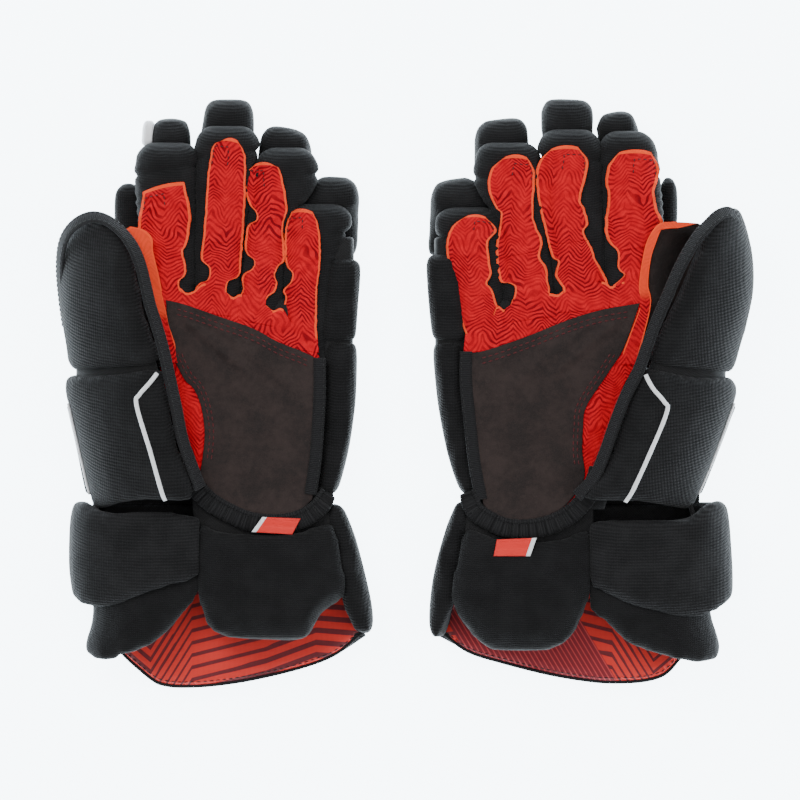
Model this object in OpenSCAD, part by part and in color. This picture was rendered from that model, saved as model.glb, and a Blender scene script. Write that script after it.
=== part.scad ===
// A pair of senior ice hockey gloves, lying on their backs with the palms up.
// Millimetres. X runs across the pair, Y towards the fingertips, Z up from the table.
// Each outline is drawn for the left glove. The right glove is mirrored across X = 0,
// and where its fingers or cuff lie differently, a value is picked or shifted by g,
// which is 0 for the left glove and 1 for the right glove.

/* [Foam rolls] */
// Thickness of the foam rolls under the hand and the fingers
roll_t = 22; // [18:0.5:22.5]
// Corner radius of a foam roll
roll_r = 5; // [3:0.5:7]
// Corner radius of a fingertip
tip_r = 10; // [6:0.5:10]
// Thickness of the pad on the palm side of the wrist
flap_t = 12; // [8:0.5:12]
// Thickness of the cuff shell on the back of the wrist
cuff_t = 14; // [8:0.5:14]

/* [Leather and fabric] */
// Height of the palm leather's upper face above the table
palm_top = 45; // [43:0.5:45]
// Thickness of the palm leather and of the finger strips
leather_t = 2.5; // [1.5:0.5:3.5]
// Thickness of the fabric walls between the leather and the rolls
wall_t = 2.5; // [1.5:0.5:3]
// Thickness of the suede patch and the side tape
patch_t = 1.5; // [0.8:0.1:2]
// Thickness of the elastic binding round the palm's lower edge
binding_t = 5; // [3:0.5:5]
// Thickness of the small tag on the binding
tag_t = 1; // [0.6:0.1:1.4]

/* [Clearances] */
// Gap between two bodies at a joint line
joint_gap = 0.5; // [0.4:0.1:1]
// Seam between two panels of one sleeve
seam = 0.1; // [0.05:0.05:0.2]

/* [Hidden] */

LEFT = 0;
RIGHT = 1;
INDEX = 0;
MIDDLE = 1;
RING = 2;
LITTLE = 3;

black = "#1d1d20";
dark_grey = "#2b2b2f";
red = "#cf2a1e";
brown = "#3d312d";
lining_red = "#b51f1f";

leather_low = palm_top - leather_t;
wall_top = leather_low - seam;

// Finger outlines from the knuckle line to the finger's own joint line.
// Each station is [y, outer x, inner x], where outer is the thumb's side.
BASE = [
  [
    [[62, -151, -128], [113, -151, -127]],
    [[62, -124, -98], [119, -121.5, -95.5]],
    [[58, -96.5, -74.5], [110, -92, -69]],
    [[34, -66, -29], [82, -65, -27.5]],
  ],
  [
    [[62, -151, -126], [113, -151, -123.5]],
    [[62, -119.5, -94], [119, -118.5, -91.5]],
    [[58, -91, -65], [110, -83, -57.5]],
    [[34, -56.5, -19], [82, -55.5, -17]],
  ],
];

// Finger outlines from the joint line to the fingertip
TIP = [
  [
    [[113, -155, -127], [166, -156, -128]],
    [[119, -121.5, -94], [177.5, -119, -91]],
    [[110, -91, -68], [124, -87.5, -57.5], [163, -85.5, -57.5]],
    [[82, -56, -27], [131, -54, -27]],
  ],
  [
    [[113, -153, -123], [140, -152, -120], [173, -147, -119]],
    [[119, -118, -90], [177.5, -115, -86]],
    [[110, -82, -57.5], [123, -79, -49], [167, -77, -48.7]],
    [[82, -47.5, -17], [130, -46.5, -18]],
  ],
];

// How far each fingertip reaches past the closed end of its sleeve
tip_overhang = 12;
// Length of the closed end of a sleeve
end_len = 9;

// Cross-section of the thumb's padded shell: [across from its outer edge, height]
THUMB_SECTION = [
  [0, 20], [0, 36], [5, 49], [16, 59], [36, 66], [60, 70], [74, 70],
  [74, 55], [60, 54], [40, 51], [25, 45], [16, 37], [13, 20],
];
// The shell's outer edge starts at the wrist end and leans outwards
thumb_start = [-188, -64];
thumb_lean = 6.85;
thumb_len = 180;

// Cross-sections of the cuff's thumb side: the band, and the flap below it
BAND_SECTION = [
  [0, 6], [0, 34], [5, 45], [16, 51], [40, 54], [82, 55],
  [82, 42], [42, 41], [22, 38], [13, 32], [12, 6],
];
FLAP_SECTION = [
  [10, 18], [10, 34], [14, 43], [24, 48], [45, 50], [82, 51],
  [82, 39], [45, 38], [28, 35], [22, 30], [22, 18],
];
band_edge_x = -201;
// Stretch along Y that holds the whole cuff
cuff_reach = [-180, -60];
// Height above every piece
above_all = 100;

// Floor, top and thickness of the suede inside the thumb
lining_low = 24;
lining_t = 2.5;
lining_top = 46;
// Top of the closed end of the thumb's lining
lining_end_top = 37.5;
// Underside of the pad on the palm side of the wrist
flap_low = palm_top - 5;
// Thickness of the pad that forms the little finger's inner wall
side_pad_t = 14;
// How far the leather strip's edges, and a sleeve's closed end, sit inside the sleeve
strip_inset = 1;

// Puts a left-glove shape where glove g has it
module on_glove(g) {
  if (g == LEFT) children();
  else mirror([1, 0, 0]) children();
}

// Prism of an outline between two heights
module plate(points, z0, z1) {
  translate([0, 0, z0]) linear_extrude(height = z1 - z0) polygon(points);
}

// Prism of a cross-section (x, z) between two places along Y
module along_y(points, y0, y1) {
  translate([0, y1, 0]) rotate([90, 0, 0]) linear_extrude(height = y1 - y0) polygon(points);
}

// Outline of a roll: inset by i on every side, with the far end rounded by r_end
function roll_outline(s, i, r_end) = let (
  last = s[len(s) - 1],
  y_end = last[0] - i * r_end / roll_r,
  body = [for (k = [0 : len(s) - 2]) [s[k][0] + (k == 0 ? i : 0), s[k][1] + i, s[k][2] - i]],
  end = [for (a = [0, 45, 90])
    [y_end - r_end * (1 - sin(a)), last[1] + i + r_end * (1 - cos(a)), last[2] - i - r_end * (1 - cos(a))]]
) concat(
  [for (p = concat(body, end)) [p[1], p[0]]],
  [for (k = [2 : -1 : 0]) [end[k][2], end[k][0]]],
  [for (k = [len(body) - 1 : -1 : 0]) [body[k][2], body[k][0]]]
);

// Foam roll through stations of [y, outer x, inner x], rounded at every edge
module roll(stations, z0, z1, r_end = roll_r) {
  hull() for (step = [[1, 0], [0.3, 0.3], [0, 1]])
    plate(roll_outline(stations, step[0] * roll_r, r_end * 0.8),
          z0 + step[1] * roll_r, z1 - step[1] * roll_r);
}

// The stations moved in from both ends of the finger
function trimmed(s, at_start, at_end) = [
  for (i = [0 : len(s) - 1])
    [s[i][0] + (i == 0 ? at_start : i == len(s) - 1 ? -at_end : 0), s[i][1], s[i][2]]
];

// Outline of a strip whose edges are inset from the stations
function strip_outline(s, left, right) = concat(
  [for (p = s) [p[1] + left, p[0]]],
  [for (i = [len(s) - 1 : -1 : 0]) [s[i][2] - right, s[i][0]]]
);

// Outline of the wall along one edge: side 1 is outer, side 2 is inner
function wall_outline(s, side, thick) = concat(
  [for (p = s) [p[side], p[0]]],
  [for (i = [len(s) - 1 : -1 : 0]) [s[i][side] + (side == 1 ? thick : -thick), s[i][0]]]
);

// Fabric walls and the leather strip over them; the inner wall may be a thick pad
module sleeve(s, inner_t = wall_t) {
  color(black) plate(wall_outline(s, 1, wall_t), roll_t, wall_top);
  color(black) plate(wall_outline(s, 2, inner_t), roll_t, wall_top);
  color(red) plate(strip_outline(s, strip_inset, strip_inset), leather_low, palm_top);
}

module palm(g) {
  inner = -47 + 9 * g;
  panel = [
    [-151, 61], [-97, 61], [-96, 57], [-68 + 9 * g, 57], [-66 + 9 * g, 33], [inner, 33],
    [inner, 0], [-51 + 6 * g, -62], [-60 + 4 * g, -69], [-85 + 15 * g, -73.5 - 3 * g],
    [-100 + 4 * g, -70], [-121 + 10 * g, -48], [-151, -48],
  ];
  on_glove(g) {
    color(red) plate(panel, leather_low, palm_top);
    color(black) plate([[-151, -62], [-151, 61], [-148.5, 61], [-148.5, -62]], roll_t, wall_top);
    color(black) plate(
      [[inner - wall_t, 33], [inner, 33], [inner, 0], [-51 + 6 * g, -62], [-53.5 + 6 * g, -62],
       [inner - wall_t, 0]],
      roll_t, wall_top);
  }
}

module palm_patch(g) {
  left = [
    [-142, 56], [-130, 53], [-110, 46], [-90, 39], [-75, 31], [-54, 22], [-54, 0], [-58, -62],
    [-65, -69], [-85, -72.5], [-99, -69], [-118, -48], [-119, -20], [-125, 2], [-132, 10],
    [-140, 30],
  ];
  right = [
    [-143, 54], [-120, 50], [-100, 44], [-75, 34], [-50, 25.5], [-46, 24], [-46, 0], [-52, -62],
    [-58, -69], [-72, -74.5], [-95, -69], [-108, -48], [-109, -20], [-111, -8], [-124, 12],
    [-133, 26], [-139, 42],
  ];
  on_glove(g) color(brown) plate(g == LEFT ? left : right, palm_top, palm_top + patch_t);
}

module wrist_binding(g) {
  inner = -47 + 9 * g;
  band = [
    [-130 + 10 * g, -50], [-120 + 10 * g, -62], [-100 + 4 * g, -77], [-88 + 12 * g, -82 - 3 * g],
    [-75 + 12 * g, -83 - 3 * g], [-60 + 6 * g, -80 - 2 * g], [-50 + 5 * g, -72],
    [-50.9 + 6 * g, -62.2], [-59.9 + 4 * g, -69.2], [-85 + 15 * g, -73.7 - 3 * g],
    [-100.2 + 4 * g, -70.2], [-121.2 + 10 * g, -48.2],
  ];
  tape = [
    [inner - 6.5, 17], [inner, 17], [inner, 0], [-51.2 + 6 * g, -60], [-57 + 6 * g, -60],
    [inner - 6.5, 0],
  ];
  tag = [
    [-84 + 4 * g, -75 - 2 * g], [-61 + 4 * g, -75 - 2 * g], [-66 + 4 * g, -82 - 2 * g],
    [-86 + 4 * g, -82 - 2 * g],
  ];
  on_glove(g) {
    color(black) plate(band, leather_low, leather_low + binding_t);
    color(dark_grey) plate(tape, palm_top + seam, palm_top + patch_t);
    color(red) plate(tag, leather_low + binding_t + seam, leather_low + binding_t + tag_t);
  }
}

module knuckle_rolls(g) {
  pads = [
    [[21, -151, -127 + 2 * g], [61.5, -151, -128 + 2 * g]],
    [[21, -126 + 4 * g, -99 + 4 * g], [61.5, -124 + 4 * g, -98 + 4 * g]],
    [[21, -98 + 7 * g, -70 + 9 * g], [57.5, -96.5 + 5.5 * g, -74.5 + 9.5 * g]],
    [[-8, -68 + 9 * g, -49 + 9 * g], [33.5, -66 + 9 * g, -49 + 9 * g]],
  ];
  on_glove(g) color(black) for (p = pads) roll(p, 0, roll_t);
}

module back_rolls(g) {
  upper = [[-151, -19], [-151, 20.5], [-70 + 9 * g, 20.5], [-70 + 9 * g, -9], [-50 + 7 * g, -9],
           [-51 + 7 * g, -19]];
  lower = [[-151, -60], [-151, -20], [-51 + 7 * g, -20], [-55 + 6 * g, -60]];
  on_glove(g) color(black) {
    plate(upper, 0, roll_t);
    plate(lower, 0, roll_t);
  }
}

module side_rolls(g) {
  top = palm_top - 2;
  upper = [[-14, -46.2 + 8 * g, -30 + 8 * g], [30, -46.2 + 9 * g, -27 + 8 * g]];
  lower = [[-62, -49.8 + 6 * g, -38 + 4 * g], [-15, -46.2 + 8 * g, -30 + 7 * g]];
  on_glove(g) color(black) {
    roll(upper, 0, top);
    roll(lower, 0, top);
  }
}

module base_roll(g, f) {
  on_glove(g) color(black) roll(trimmed(BASE[g][f], joint_gap, joint_gap), 0, roll_t);
}

module base_sleeve(g, f) {
  inner_t = f == LITTLE ? side_pad_t : wall_t;
  on_glove(g) sleeve(trimmed(BASE[g][f], joint_gap, joint_gap), inner_t);
}

module tip_roll(g, f) {
  on_glove(g) color(black) roll(trimmed(TIP[g][f], joint_gap, 0), 0, roll_t, tip_r);
}

module tip_sleeve(g, f) {
  s = TIP[g][f];
  last = s[len(s) - 1];
  sleeve_end = last[0] - tip_overhang - end_len;
  body = trimmed(s, joint_gap, tip_overhang + end_len);
  cap = [
    [sleeve_end + seam, last[1] + strip_inset, last[2] - strip_inset],
    [last[0] - tip_overhang + 2, last[1] + strip_inset, last[2] - strip_inset],
  ];
  on_glove(g) {
    sleeve(body);
    color(black) roll(cap, roll_t, palm_top - 1);
  }
}

// The thumb's padded shell as one long arch, cut to an outline
module thumb_shell(outline) {
  intersection() {
    translate([thumb_start[0], thumb_start[1], 0]) rotate([0, 0, thumb_lean])
      along_y(THUMB_SECTION, -20, thumb_len);
    plate(outline, 0, above_all);
  }
}

module thumb_base_roll(g) {
  outline = [
    [-194, -65], [-118, -65], [-118, -55], [-122, -45], [-128, -30], [-131, -10], [-136, 10],
    [-137, 12.5], [-203, 12.5],
  ];
  on_glove(g) color(black) thumb_shell(outline);
}

module thumb_tip_roll(g) {
  outline = [
    [-203, 13.5], [-137.5, 13.5], [-142, 32], [-149, 47], [-154, 60], [-155, 70], [-158, 83],
    [-163, 92], [-168, 100], [-177, 106], [-185, 107.5], [-196, 103], [-203, 97], [-208, 88],
    [-208, 60],
  ];
  on_glove(g) color(black) thumb_shell(outline);
}

module thumb_base_lining(g) {
  floor_panel = [[-173, -62], [-155, -62], [-155, 12], [-182, 12]];
  wall = [[-157.5, -62], [-155, -62], [-155, 12], [-157.5, 12]];
  on_glove(g) color(brown) {
    plate(floor_panel, lining_low, lining_low + lining_t);
    plate(wall, lining_low + lining_t + seam, lining_top);
  }
}

module thumb_tip_lining(g) {
  floor_panel = [[-183, 14], [-155, 14], [-157, 60], [-165.5, 94], [-188, 94], [-188, 60]];
  wall = [[-157.5, 14], [-155, 14], [-157, 60], [-165.5, 94], [-168, 94], [-159.5, 60]];
  end_wall = [[-188, 94.2], [-165.5, 94.2], [-170, 98], [-186, 98]];
  on_glove(g) color(red) {
    plate(floor_panel, lining_low, lining_low + lining_t);
    plate(wall, lining_low + lining_t + seam, lining_top);
    plate(end_wall, lining_low, lining_end_top);
  }
}

module cuff_back(g) {
  floor_panel = [
    [-186, -68], [-46 + 3 * g, -68], [-36 + 2 * g, -85], [-24, -127], [-19, -140], [-22, -147],
    [-60 + 3 * g, -166 + g], [-90 + 3 * g, -173 + 3 * g], [-120, -177 + g], [-145, -177.5 + 3 * g],
    [-158, -172], [-170, -159], [-184, -130],
  ];
  side_wall = [
    [-41 + 4 * g, -68], [-31 + 2 * g, -85], [-20, -127], [-18.5, -140], [-21, -145],
    [-30, -140], [-35 + 4 * g, -124], [-41 + 4 * g, -90], [-46 + 4 * g, -70],
  ];
  on_glove(g) color(black) {
    plate(floor_panel, 0, cuff_t);
    plate(side_wall, cuff_t + seam, palm_top);
  }
}

module cuff_lining(g) {
  outline = [
    [-184, -69], [-50 + 3 * g, -69], [-44 + 3 * g, -88], [-37 + 3 * g, -124], [-32, -143],
    [-60 + 3 * g, -163 + g], [-90 + 3 * g, -170 + 3 * g], [-120, -174 + g], [-144, -174.5 + 3 * g],
    [-156, -170], [-167, -158], [-182, -129],
  ];
  on_glove(g) color(lining_red) plate(outline, cuff_t + seam, cuff_t + lining_t);
}

module wrist_flap(g) {
  outline = [
    [-120 + 8 * g, -84 - 4 * g], [-44 + 5 * g, -84 - 4 * g], [-37 + 5 * g, -124],
    [-46 + 5 * g, -134 - 5 * g], [-53 + 2 * g, -143 - 6 * g], [-59 + 2 * g, -149 - 5 * g],
    [-94 + 4 * g, -149 - 5 * g], [-111 + 8 * g, -144 - 5 * g], [-117 + 8 * g, -130 - 2 * g],
  ];
  on_glove(g) color(black) plate(outline, flap_low, flap_low + flap_t);
}

module thumb_cuff(g) {
  band = [
    [-202, -68.5], [-121.5 + 8 * g, -71.5], [-122 + 8 * g, -110 - 3 * g], [-135, -113 - 8 * g],
    [-150, -119 - 8 * g], [-170, -126 - 6 * g], [-180, -128 - 3 * g], [-190, -126.5 - 2 * g],
    [-202, -112 - 3 * g],
  ];
  lower = [
    [-124 + 8 * g, -110.6 - 4.8 * g], [-135, -113.8 - 8 * g], [-150, -119.8 - 8 * g],
    [-170, -126.9 - 6 * g], [-180, -128.9 - 3 * g], [-189, -127.6 - 2 * g], [-190.5, -150],
    [-189, -156], [-184, -159.5 - g], [-178, -160.5 - g], [-170, -158 - 2 * g],
    [-148, -149 - 5 * g], [-140, -142 - 6 * g], [-132 + 4 * g, -133 - 6 * g],
    [-127 + 8 * g, -121 - 4 * g],
  ];
  on_glove(g) color(black) {
    intersection() {
      translate([band_edge_x, 0, 0]) along_y(BAND_SECTION, cuff_reach[0], cuff_reach[1]);
      plate(band, 0, above_all);
    }
    intersection() {
      translate([band_edge_x, 0, 0]) along_y(FLAP_SECTION, cuff_reach[0], cuff_reach[1]);
      plate(lower, 0, above_all);
    }
  }
}

palm(LEFT);  // left_palm
palm_patch(LEFT);  // left_palm_patch
wrist_binding(LEFT);  // left_wrist_binding
knuckle_rolls(LEFT);  // left_knuckle_rolls
back_rolls(LEFT);  // left_back_rolls
side_rolls(LEFT);  // left_side_rolls
base_roll(LEFT, INDEX);  // left_index_base_roll
base_sleeve(LEFT, INDEX);  // left_index_base_sleeve
tip_roll(LEFT, INDEX);  // left_index_tip_roll
tip_sleeve(LEFT, INDEX);  // left_index_tip_sleeve
base_roll(LEFT, MIDDLE);  // left_middle_base_roll
base_sleeve(LEFT, MIDDLE);  // left_middle_base_sleeve
tip_roll(LEFT, MIDDLE);  // left_middle_tip_roll
tip_sleeve(LEFT, MIDDLE);  // left_middle_tip_sleeve
base_roll(LEFT, RING);  // left_ring_base_roll
base_sleeve(LEFT, RING);  // left_ring_base_sleeve
tip_roll(LEFT, RING);  // left_ring_tip_roll
tip_sleeve(LEFT, RING);  // left_ring_tip_sleeve
base_roll(LEFT, LITTLE);  // left_little_base_roll
base_sleeve(LEFT, LITTLE);  // left_little_base_sleeve
tip_roll(LEFT, LITTLE);  // left_little_tip_roll
tip_sleeve(LEFT, LITTLE);  // left_little_tip_sleeve
thumb_base_roll(LEFT);  // left_thumb_base_roll
thumb_base_lining(LEFT);  // left_thumb_base_lining
thumb_tip_roll(LEFT);  // left_thumb_tip_roll
thumb_tip_lining(LEFT);  // left_thumb_tip_lining
cuff_back(LEFT);  // left_cuff_back
cuff_lining(LEFT);  // left_cuff_lining
wrist_flap(LEFT);  // left_wrist_flap
thumb_cuff(LEFT);  // left_thumb_cuff
palm(RIGHT);  // right_palm
palm_patch(RIGHT);  // right_palm_patch
wrist_binding(RIGHT);  // right_wrist_binding
knuckle_rolls(RIGHT);  // right_knuckle_rolls
back_rolls(RIGHT);  // right_back_rolls
side_rolls(RIGHT);  // right_side_rolls
base_roll(RIGHT, INDEX);  // right_index_base_roll
base_sleeve(RIGHT, INDEX);  // right_index_base_sleeve
tip_roll(RIGHT, INDEX);  // right_index_tip_roll
tip_sleeve(RIGHT, INDEX);  // right_index_tip_sleeve
base_roll(RIGHT, MIDDLE);  // right_middle_base_roll
base_sleeve(RIGHT, MIDDLE);  // right_middle_base_sleeve
tip_roll(RIGHT, MIDDLE);  // right_middle_tip_roll
tip_sleeve(RIGHT, MIDDLE);  // right_middle_tip_sleeve
base_roll(RIGHT, RING);  // right_ring_base_roll
base_sleeve(RIGHT, RING);  // right_ring_base_sleeve
tip_roll(RIGHT, RING);  // right_ring_tip_roll
tip_sleeve(RIGHT, RING);  // right_ring_tip_sleeve
base_roll(RIGHT, LITTLE);  // right_little_base_roll
base_sleeve(RIGHT, LITTLE);  // right_little_base_sleeve
tip_roll(RIGHT, LITTLE);  // right_little_tip_roll
tip_sleeve(RIGHT, LITTLE);  // right_little_tip_sleeve
thumb_base_roll(RIGHT);  // right_thumb_base_roll
thumb_base_lining(RIGHT);  // right_thumb_base_lining
thumb_tip_roll(RIGHT);  // right_thumb_tip_roll
thumb_tip_lining(RIGHT);  // right_thumb_tip_lining
cuff_back(RIGHT);  // right_cuff_back
cuff_lining(RIGHT);  // right_cuff_lining
wrist_flap(RIGHT);  // right_wrist_flap
thumb_cuff(RIGHT);  // right_thumb_cuff
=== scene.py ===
"""Looks of the pair of ice hockey gloves: every CAD solid is replaced by its sewn, padded or leather piece.

Shapes are written in millimetres for the left glove, thumb to the left, and mirrored for the right one.
Where the right glove lies differently, a table holds rows for each glove, or a pair [left, right].
"""
import math

import bmesh
import bpy
import numpy as np
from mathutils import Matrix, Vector
from mathutils.bvhtree import BVHTree


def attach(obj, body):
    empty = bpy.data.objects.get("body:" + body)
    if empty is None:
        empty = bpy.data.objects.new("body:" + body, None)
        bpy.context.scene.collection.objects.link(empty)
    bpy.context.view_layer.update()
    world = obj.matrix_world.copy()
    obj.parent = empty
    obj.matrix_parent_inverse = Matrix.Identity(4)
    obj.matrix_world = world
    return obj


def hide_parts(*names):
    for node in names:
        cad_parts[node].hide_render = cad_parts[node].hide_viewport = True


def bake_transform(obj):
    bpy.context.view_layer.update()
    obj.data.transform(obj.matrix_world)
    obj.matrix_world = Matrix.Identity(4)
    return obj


MM = 0.001
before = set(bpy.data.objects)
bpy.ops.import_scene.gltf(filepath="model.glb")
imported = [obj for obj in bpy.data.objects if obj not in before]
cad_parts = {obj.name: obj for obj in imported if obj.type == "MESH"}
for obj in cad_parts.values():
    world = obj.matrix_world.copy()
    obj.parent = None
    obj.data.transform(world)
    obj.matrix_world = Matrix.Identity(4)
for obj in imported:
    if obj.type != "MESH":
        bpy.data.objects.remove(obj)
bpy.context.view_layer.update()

# Share of a soft piece that its filling takes up: foam rolls, pads, sleeves and loose fabric
ROLL_FILL, PAD_FILL, SLEEVE_FILL, FABRIC_FILL = 0.8, 0.7, 0.4, 0.3
# How far the simulated cloth of a roll and of a pad may move, in mm
ROLL_SWELL, PAD_SWELL = 1.6, 2.5
# Sizes in mm: clear height under a piece, thickness of leather, of the suede overlay and of thin cloth
FLOOR_GAP, LEATHER_T, SUEDE_T, CLOTH_T = 0.2, 1.8, 1.5, 1.6
# Underside and palm side of a finger's sleeve, height of its hinges, and how far each bend reaches
SLEEVE_LOW, SLEEVE_HIGH, HINGE_Z, BEND_REACH = 17, 43.4, 45.6, 9
SLEEVE_MIDDLE, SLEEVE_POWER = 30.2, 3.0


# ---------------------------------------------------------------- curves and surfaces


def run_of(path):
    """Length along a path (n, k) up to each of its points."""
    return np.concatenate([[0], np.cumsum(np.linalg.norm(np.diff(path, axis=0), axis=1))])


def unit(vectors):
    return vectors / np.linalg.norm(vectors, axis=-1, keepdims=True)


def spline(a, b, c, d, t):
    """Point at t from 0 to 1 between b and c, on the smooth curve through a, b, c and d."""
    return 0.5 * (2 * b + (c - a) * t + (2 * a - 5 * b + 4 * c - d) * t**2 + (3 * b - a - 3 * c + d) * t**3)


def along(points, fractions):
    """Points at the given fractions of a smooth curve through listed points."""
    p = np.array(points, float)
    p = np.vstack([2 * p[0] - p[1], p, 2 * p[-1] - p[-2]])
    fine = [spline(*corners, t) for corners in zip(p[:-3], p[1:-2], p[2:-1], p[3:])
            for t in np.linspace(0, 1, 12, endpoint=False)]
    fine = np.array(fine + [p[-2]])
    run = run_of(fine)
    where = np.asarray(fractions) * run[-1]
    return np.stack([np.interp(where, run, fine[:, k]) for k in range(fine.shape[1])], axis=1)


def curve(points, n):
    return along(points, np.linspace(0, 1, n))


def at(table, y):
    """Smoothly interpolated row of a table whose first column is y."""
    t = np.array(table, float)
    y = np.clip(y, t[0, 0], t[-1, 0])
    k = int(np.clip(np.searchsorted(t[:, 0], y) - 1, 0, len(t) - 2))
    a, b, c, d = t[max(k - 1, 0)], t[k], t[k + 1], t[min(k + 2, len(t) - 1)]
    return spline(a, b, c, d, (y - b[0]) / (c[0] - b[0]))[1:]


def step(value, low, high):
    """Smooth rise from 0 at low to 1 at high."""
    t = np.clip((value - low) / (high - low), 0, 1)
    return t * t * (3 - 2 * t)


def ripple(x, y, size, seed=0.0):
    """Smooth repeatable unevenness between about -1 and 1, with features about size mm across."""
    golden_angle = 2.39996
    total = 0
    for k in range(6):
        turn = seed * 1.7 + k * golden_angle
        f = math.tau / size * (0.45 + 0.22 * k)
        across = x * math.cos(turn) + y * math.sin(turn)
        along_it = y * math.cos(turn) - x * math.sin(turn)
        total = total + np.sin(f * across + 1.3 * np.sin(0.53 * f * along_it + k + seed)) / (1 + 0.35 * k)
    return total / 3


def folds(x, y, lines):
    """Height of soft folds, each (x0, y0, x1, y1, height, width)."""
    total = np.zeros_like(x)
    for x0, y0, x1, y1, height, width in lines:
        dx, dy = x1 - x0, y1 - y0
        t = ((x - x0) * dx + (y - y0) * dy) / (dx * dx + dy * dy)
        off = np.hypot(x - x0 - np.clip(t, 0, 1) * dx, y - y0 - np.clip(t, 0, 1) * dy)
        fade = np.exp(-(np.maximum(np.abs(t - 0.5) - 0.35, 0) * 5) ** 2)
        total = total + height * np.exp(-(off / width) ** 2) * fade
    return total


def fractions(n, ends=0.5):
    """Values from 0 to 1, closer together near both ends."""
    t = np.linspace(0, 1, n)
    return t * (1 - ends) + ends * (0.5 - 0.5 * np.cos(math.pi * t))


def rim_fractions(n, width):
    """Values from 0 to 1 with extra ones inside a rim of the given width at both ends."""
    rim = np.array([0, 0.4, 0.8, 1.25]) * width
    middle = np.linspace(2.2 * width, 1 - 2.2 * width, n)
    return np.concatenate([rim, middle, 1 - rim[::-1]])


def rim_marks(values, width, first=True, last=True):
    """1 within the given width of either end, 0 between."""
    marks = np.zeros(len(values))
    if first:
        marks[values <= width] = 1
    if last:
        marks[values >= 1 - width] = 1
    return marks


def patch(top, bottom, left, right, rows, cols):
    """Flat surface between four edge curves; rows run down from top, cols run from left to right."""
    t, s = np.asarray(rows)[:, None, None], np.asarray(cols)[None, :, None]
    a, b = along(top, cols)[None], along(bottom, cols)[None]
    c, d = along(left, rows)[:, None], along(right, rows)[:, None]
    first, last, low_first, low_last = (np.array(p, float) for p in (top[0], top[-1], bottom[0], bottom[-1]))
    corners = (1 - t) * (1 - s) * first + (1 - t) * s * last + t * (1 - s) * low_first + t * s * low_last
    return (1 - t) * a + t * b + (1 - s) * c + s * d - corners


def between(left, right, cols):
    """Flat surface whose rows run straight from a point of the left edge to one of the right edge."""
    return left[:, None] * (1 - cols)[None, :, None] + right[:, None] * cols[None, :, None]


def lifted(plan, height):
    return np.concatenate([plan, np.broadcast_to(height, plan.shape[:2])[..., None]], axis=2)


def edge_distance(grid):
    """Distance in mm from each point of a grid to its nearest edge, measured along rows and columns."""
    across = np.linalg.norm(np.diff(grid, axis=1), axis=2)
    down = np.linalg.norm(np.diff(grid, axis=0), axis=2)
    u = np.concatenate([np.zeros((grid.shape[0], 1)), np.cumsum(across, axis=1)], axis=1)
    v = np.concatenate([np.zeros((1, grid.shape[1])), np.cumsum(down, axis=0)], axis=0)
    return np.minimum(np.minimum(u, u[:, -1:] - u), np.minimum(v, v[-1:] - v))


def grid_faces(n, m, first=0, flip=False):
    i, j = np.meshgrid(np.arange(n - 1), np.arange(m - 1), indexing="ij")
    a = first + i * m + j
    quads = np.stack([a, a + 1, a + m + 1, a + m], axis=-1).reshape(-1, 4)
    return (quads[:, ::-1] if flip else quads).tolist()


def solid(top, under):
    """Closed solid between two grids of points (rows, cols, 3)."""
    n, m = top.shape[:2]
    verts = np.vstack([top.reshape(-1, 3), under.reshape(-1, 3)])
    rim = ([j for j in range(m)] + [i * m + m - 1 for i in range(1, n)]
           + [(n - 1) * m + j for j in range(m - 2, -1, -1)] + [i * m for i in range(n - 2, 0, -1)])
    faces = grid_faces(n, m) + grid_faces(n, m, n * m, flip=True)
    for a, b in zip(rim, rim[1:] + rim[:1]):
        faces.append([a, b, b + n * m, a + n * m])
    return verts, faces


def slab(surface, thickness):
    """Closed solid of even thickness under a grid of points."""
    return solid(surface, surface - [0, 0, thickness])


def pillow(middle, thickness, rim=5.0, edge=0.25, relief=0.0):
    """Padded panel around a grid of middle points, thin at its sewn edges; relief raises its outer face."""
    reach = np.clip(edge_distance(middle) / rim, 0, 1)
    half = thickness / 2 * (edge + (1 - edge) * np.sqrt(1 - (1 - reach) ** 2))
    normal = np.cross(np.gradient(middle, axis=0), np.gradient(middle, axis=1))
    normal = normal / (np.linalg.norm(normal, axis=2, keepdims=True) + 1e-9)
    outer = middle + normal * (half + relief * reach)[..., None]
    return solid(outer, middle - normal * half[..., None])


def loft(rings):
    """Tube through rings of points (n, m, 3), closed at both ends."""
    n, m = rings.shape[:2]
    verts = np.vstack([rings.reshape(-1, 3), rings[0].mean(0), rings[-1].mean(0)])
    faces = []
    for i in range(n - 1):
        for j in range(m):
            k = (j + 1) % m
            faces.append([i * m + j, i * m + k, (i + 1) * m + k, (i + 1) * m + j])
    for j in range(m):
        k = (j + 1) % m
        faces.append([k, j, n * m])
        faces.append([(n - 1) * m + j, (n - 1) * m + k, n * m + 1])
    return verts, faces


def superellipse(m, power):
    angle = np.linspace(0, math.tau, m, endpoint=False)
    c, s = np.cos(angle), np.sin(angle)
    return np.sign(c) * np.abs(c) ** (2 / power), np.sign(s) * np.abs(s) ** (2 / power)


def band(path, width, thickness, up=(0, 0, 1), sides=10, power=2.6):
    """Flat rounded band swept along a path (n, 3); width may vary along it."""
    path = np.asarray(path, float)
    tangent = unit(np.gradient(path, axis=0))
    across = unit(np.cross(tangent, np.broadcast_to(np.array(up, float), path.shape)))
    lift = np.cross(across, tangent)
    cs, sn = superellipse(sides, power)
    half = np.broadcast_to(np.asarray(width, float) / 2, (len(path),))[:, None, None]
    thick = np.broadcast_to(np.asarray(thickness, float) / 2, (len(path),))[:, None, None]
    return loft(path[:, None] + across[:, None] * cs[None, :, None] * half
                + lift[:, None] * sn[None, :, None] * thick)


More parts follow.
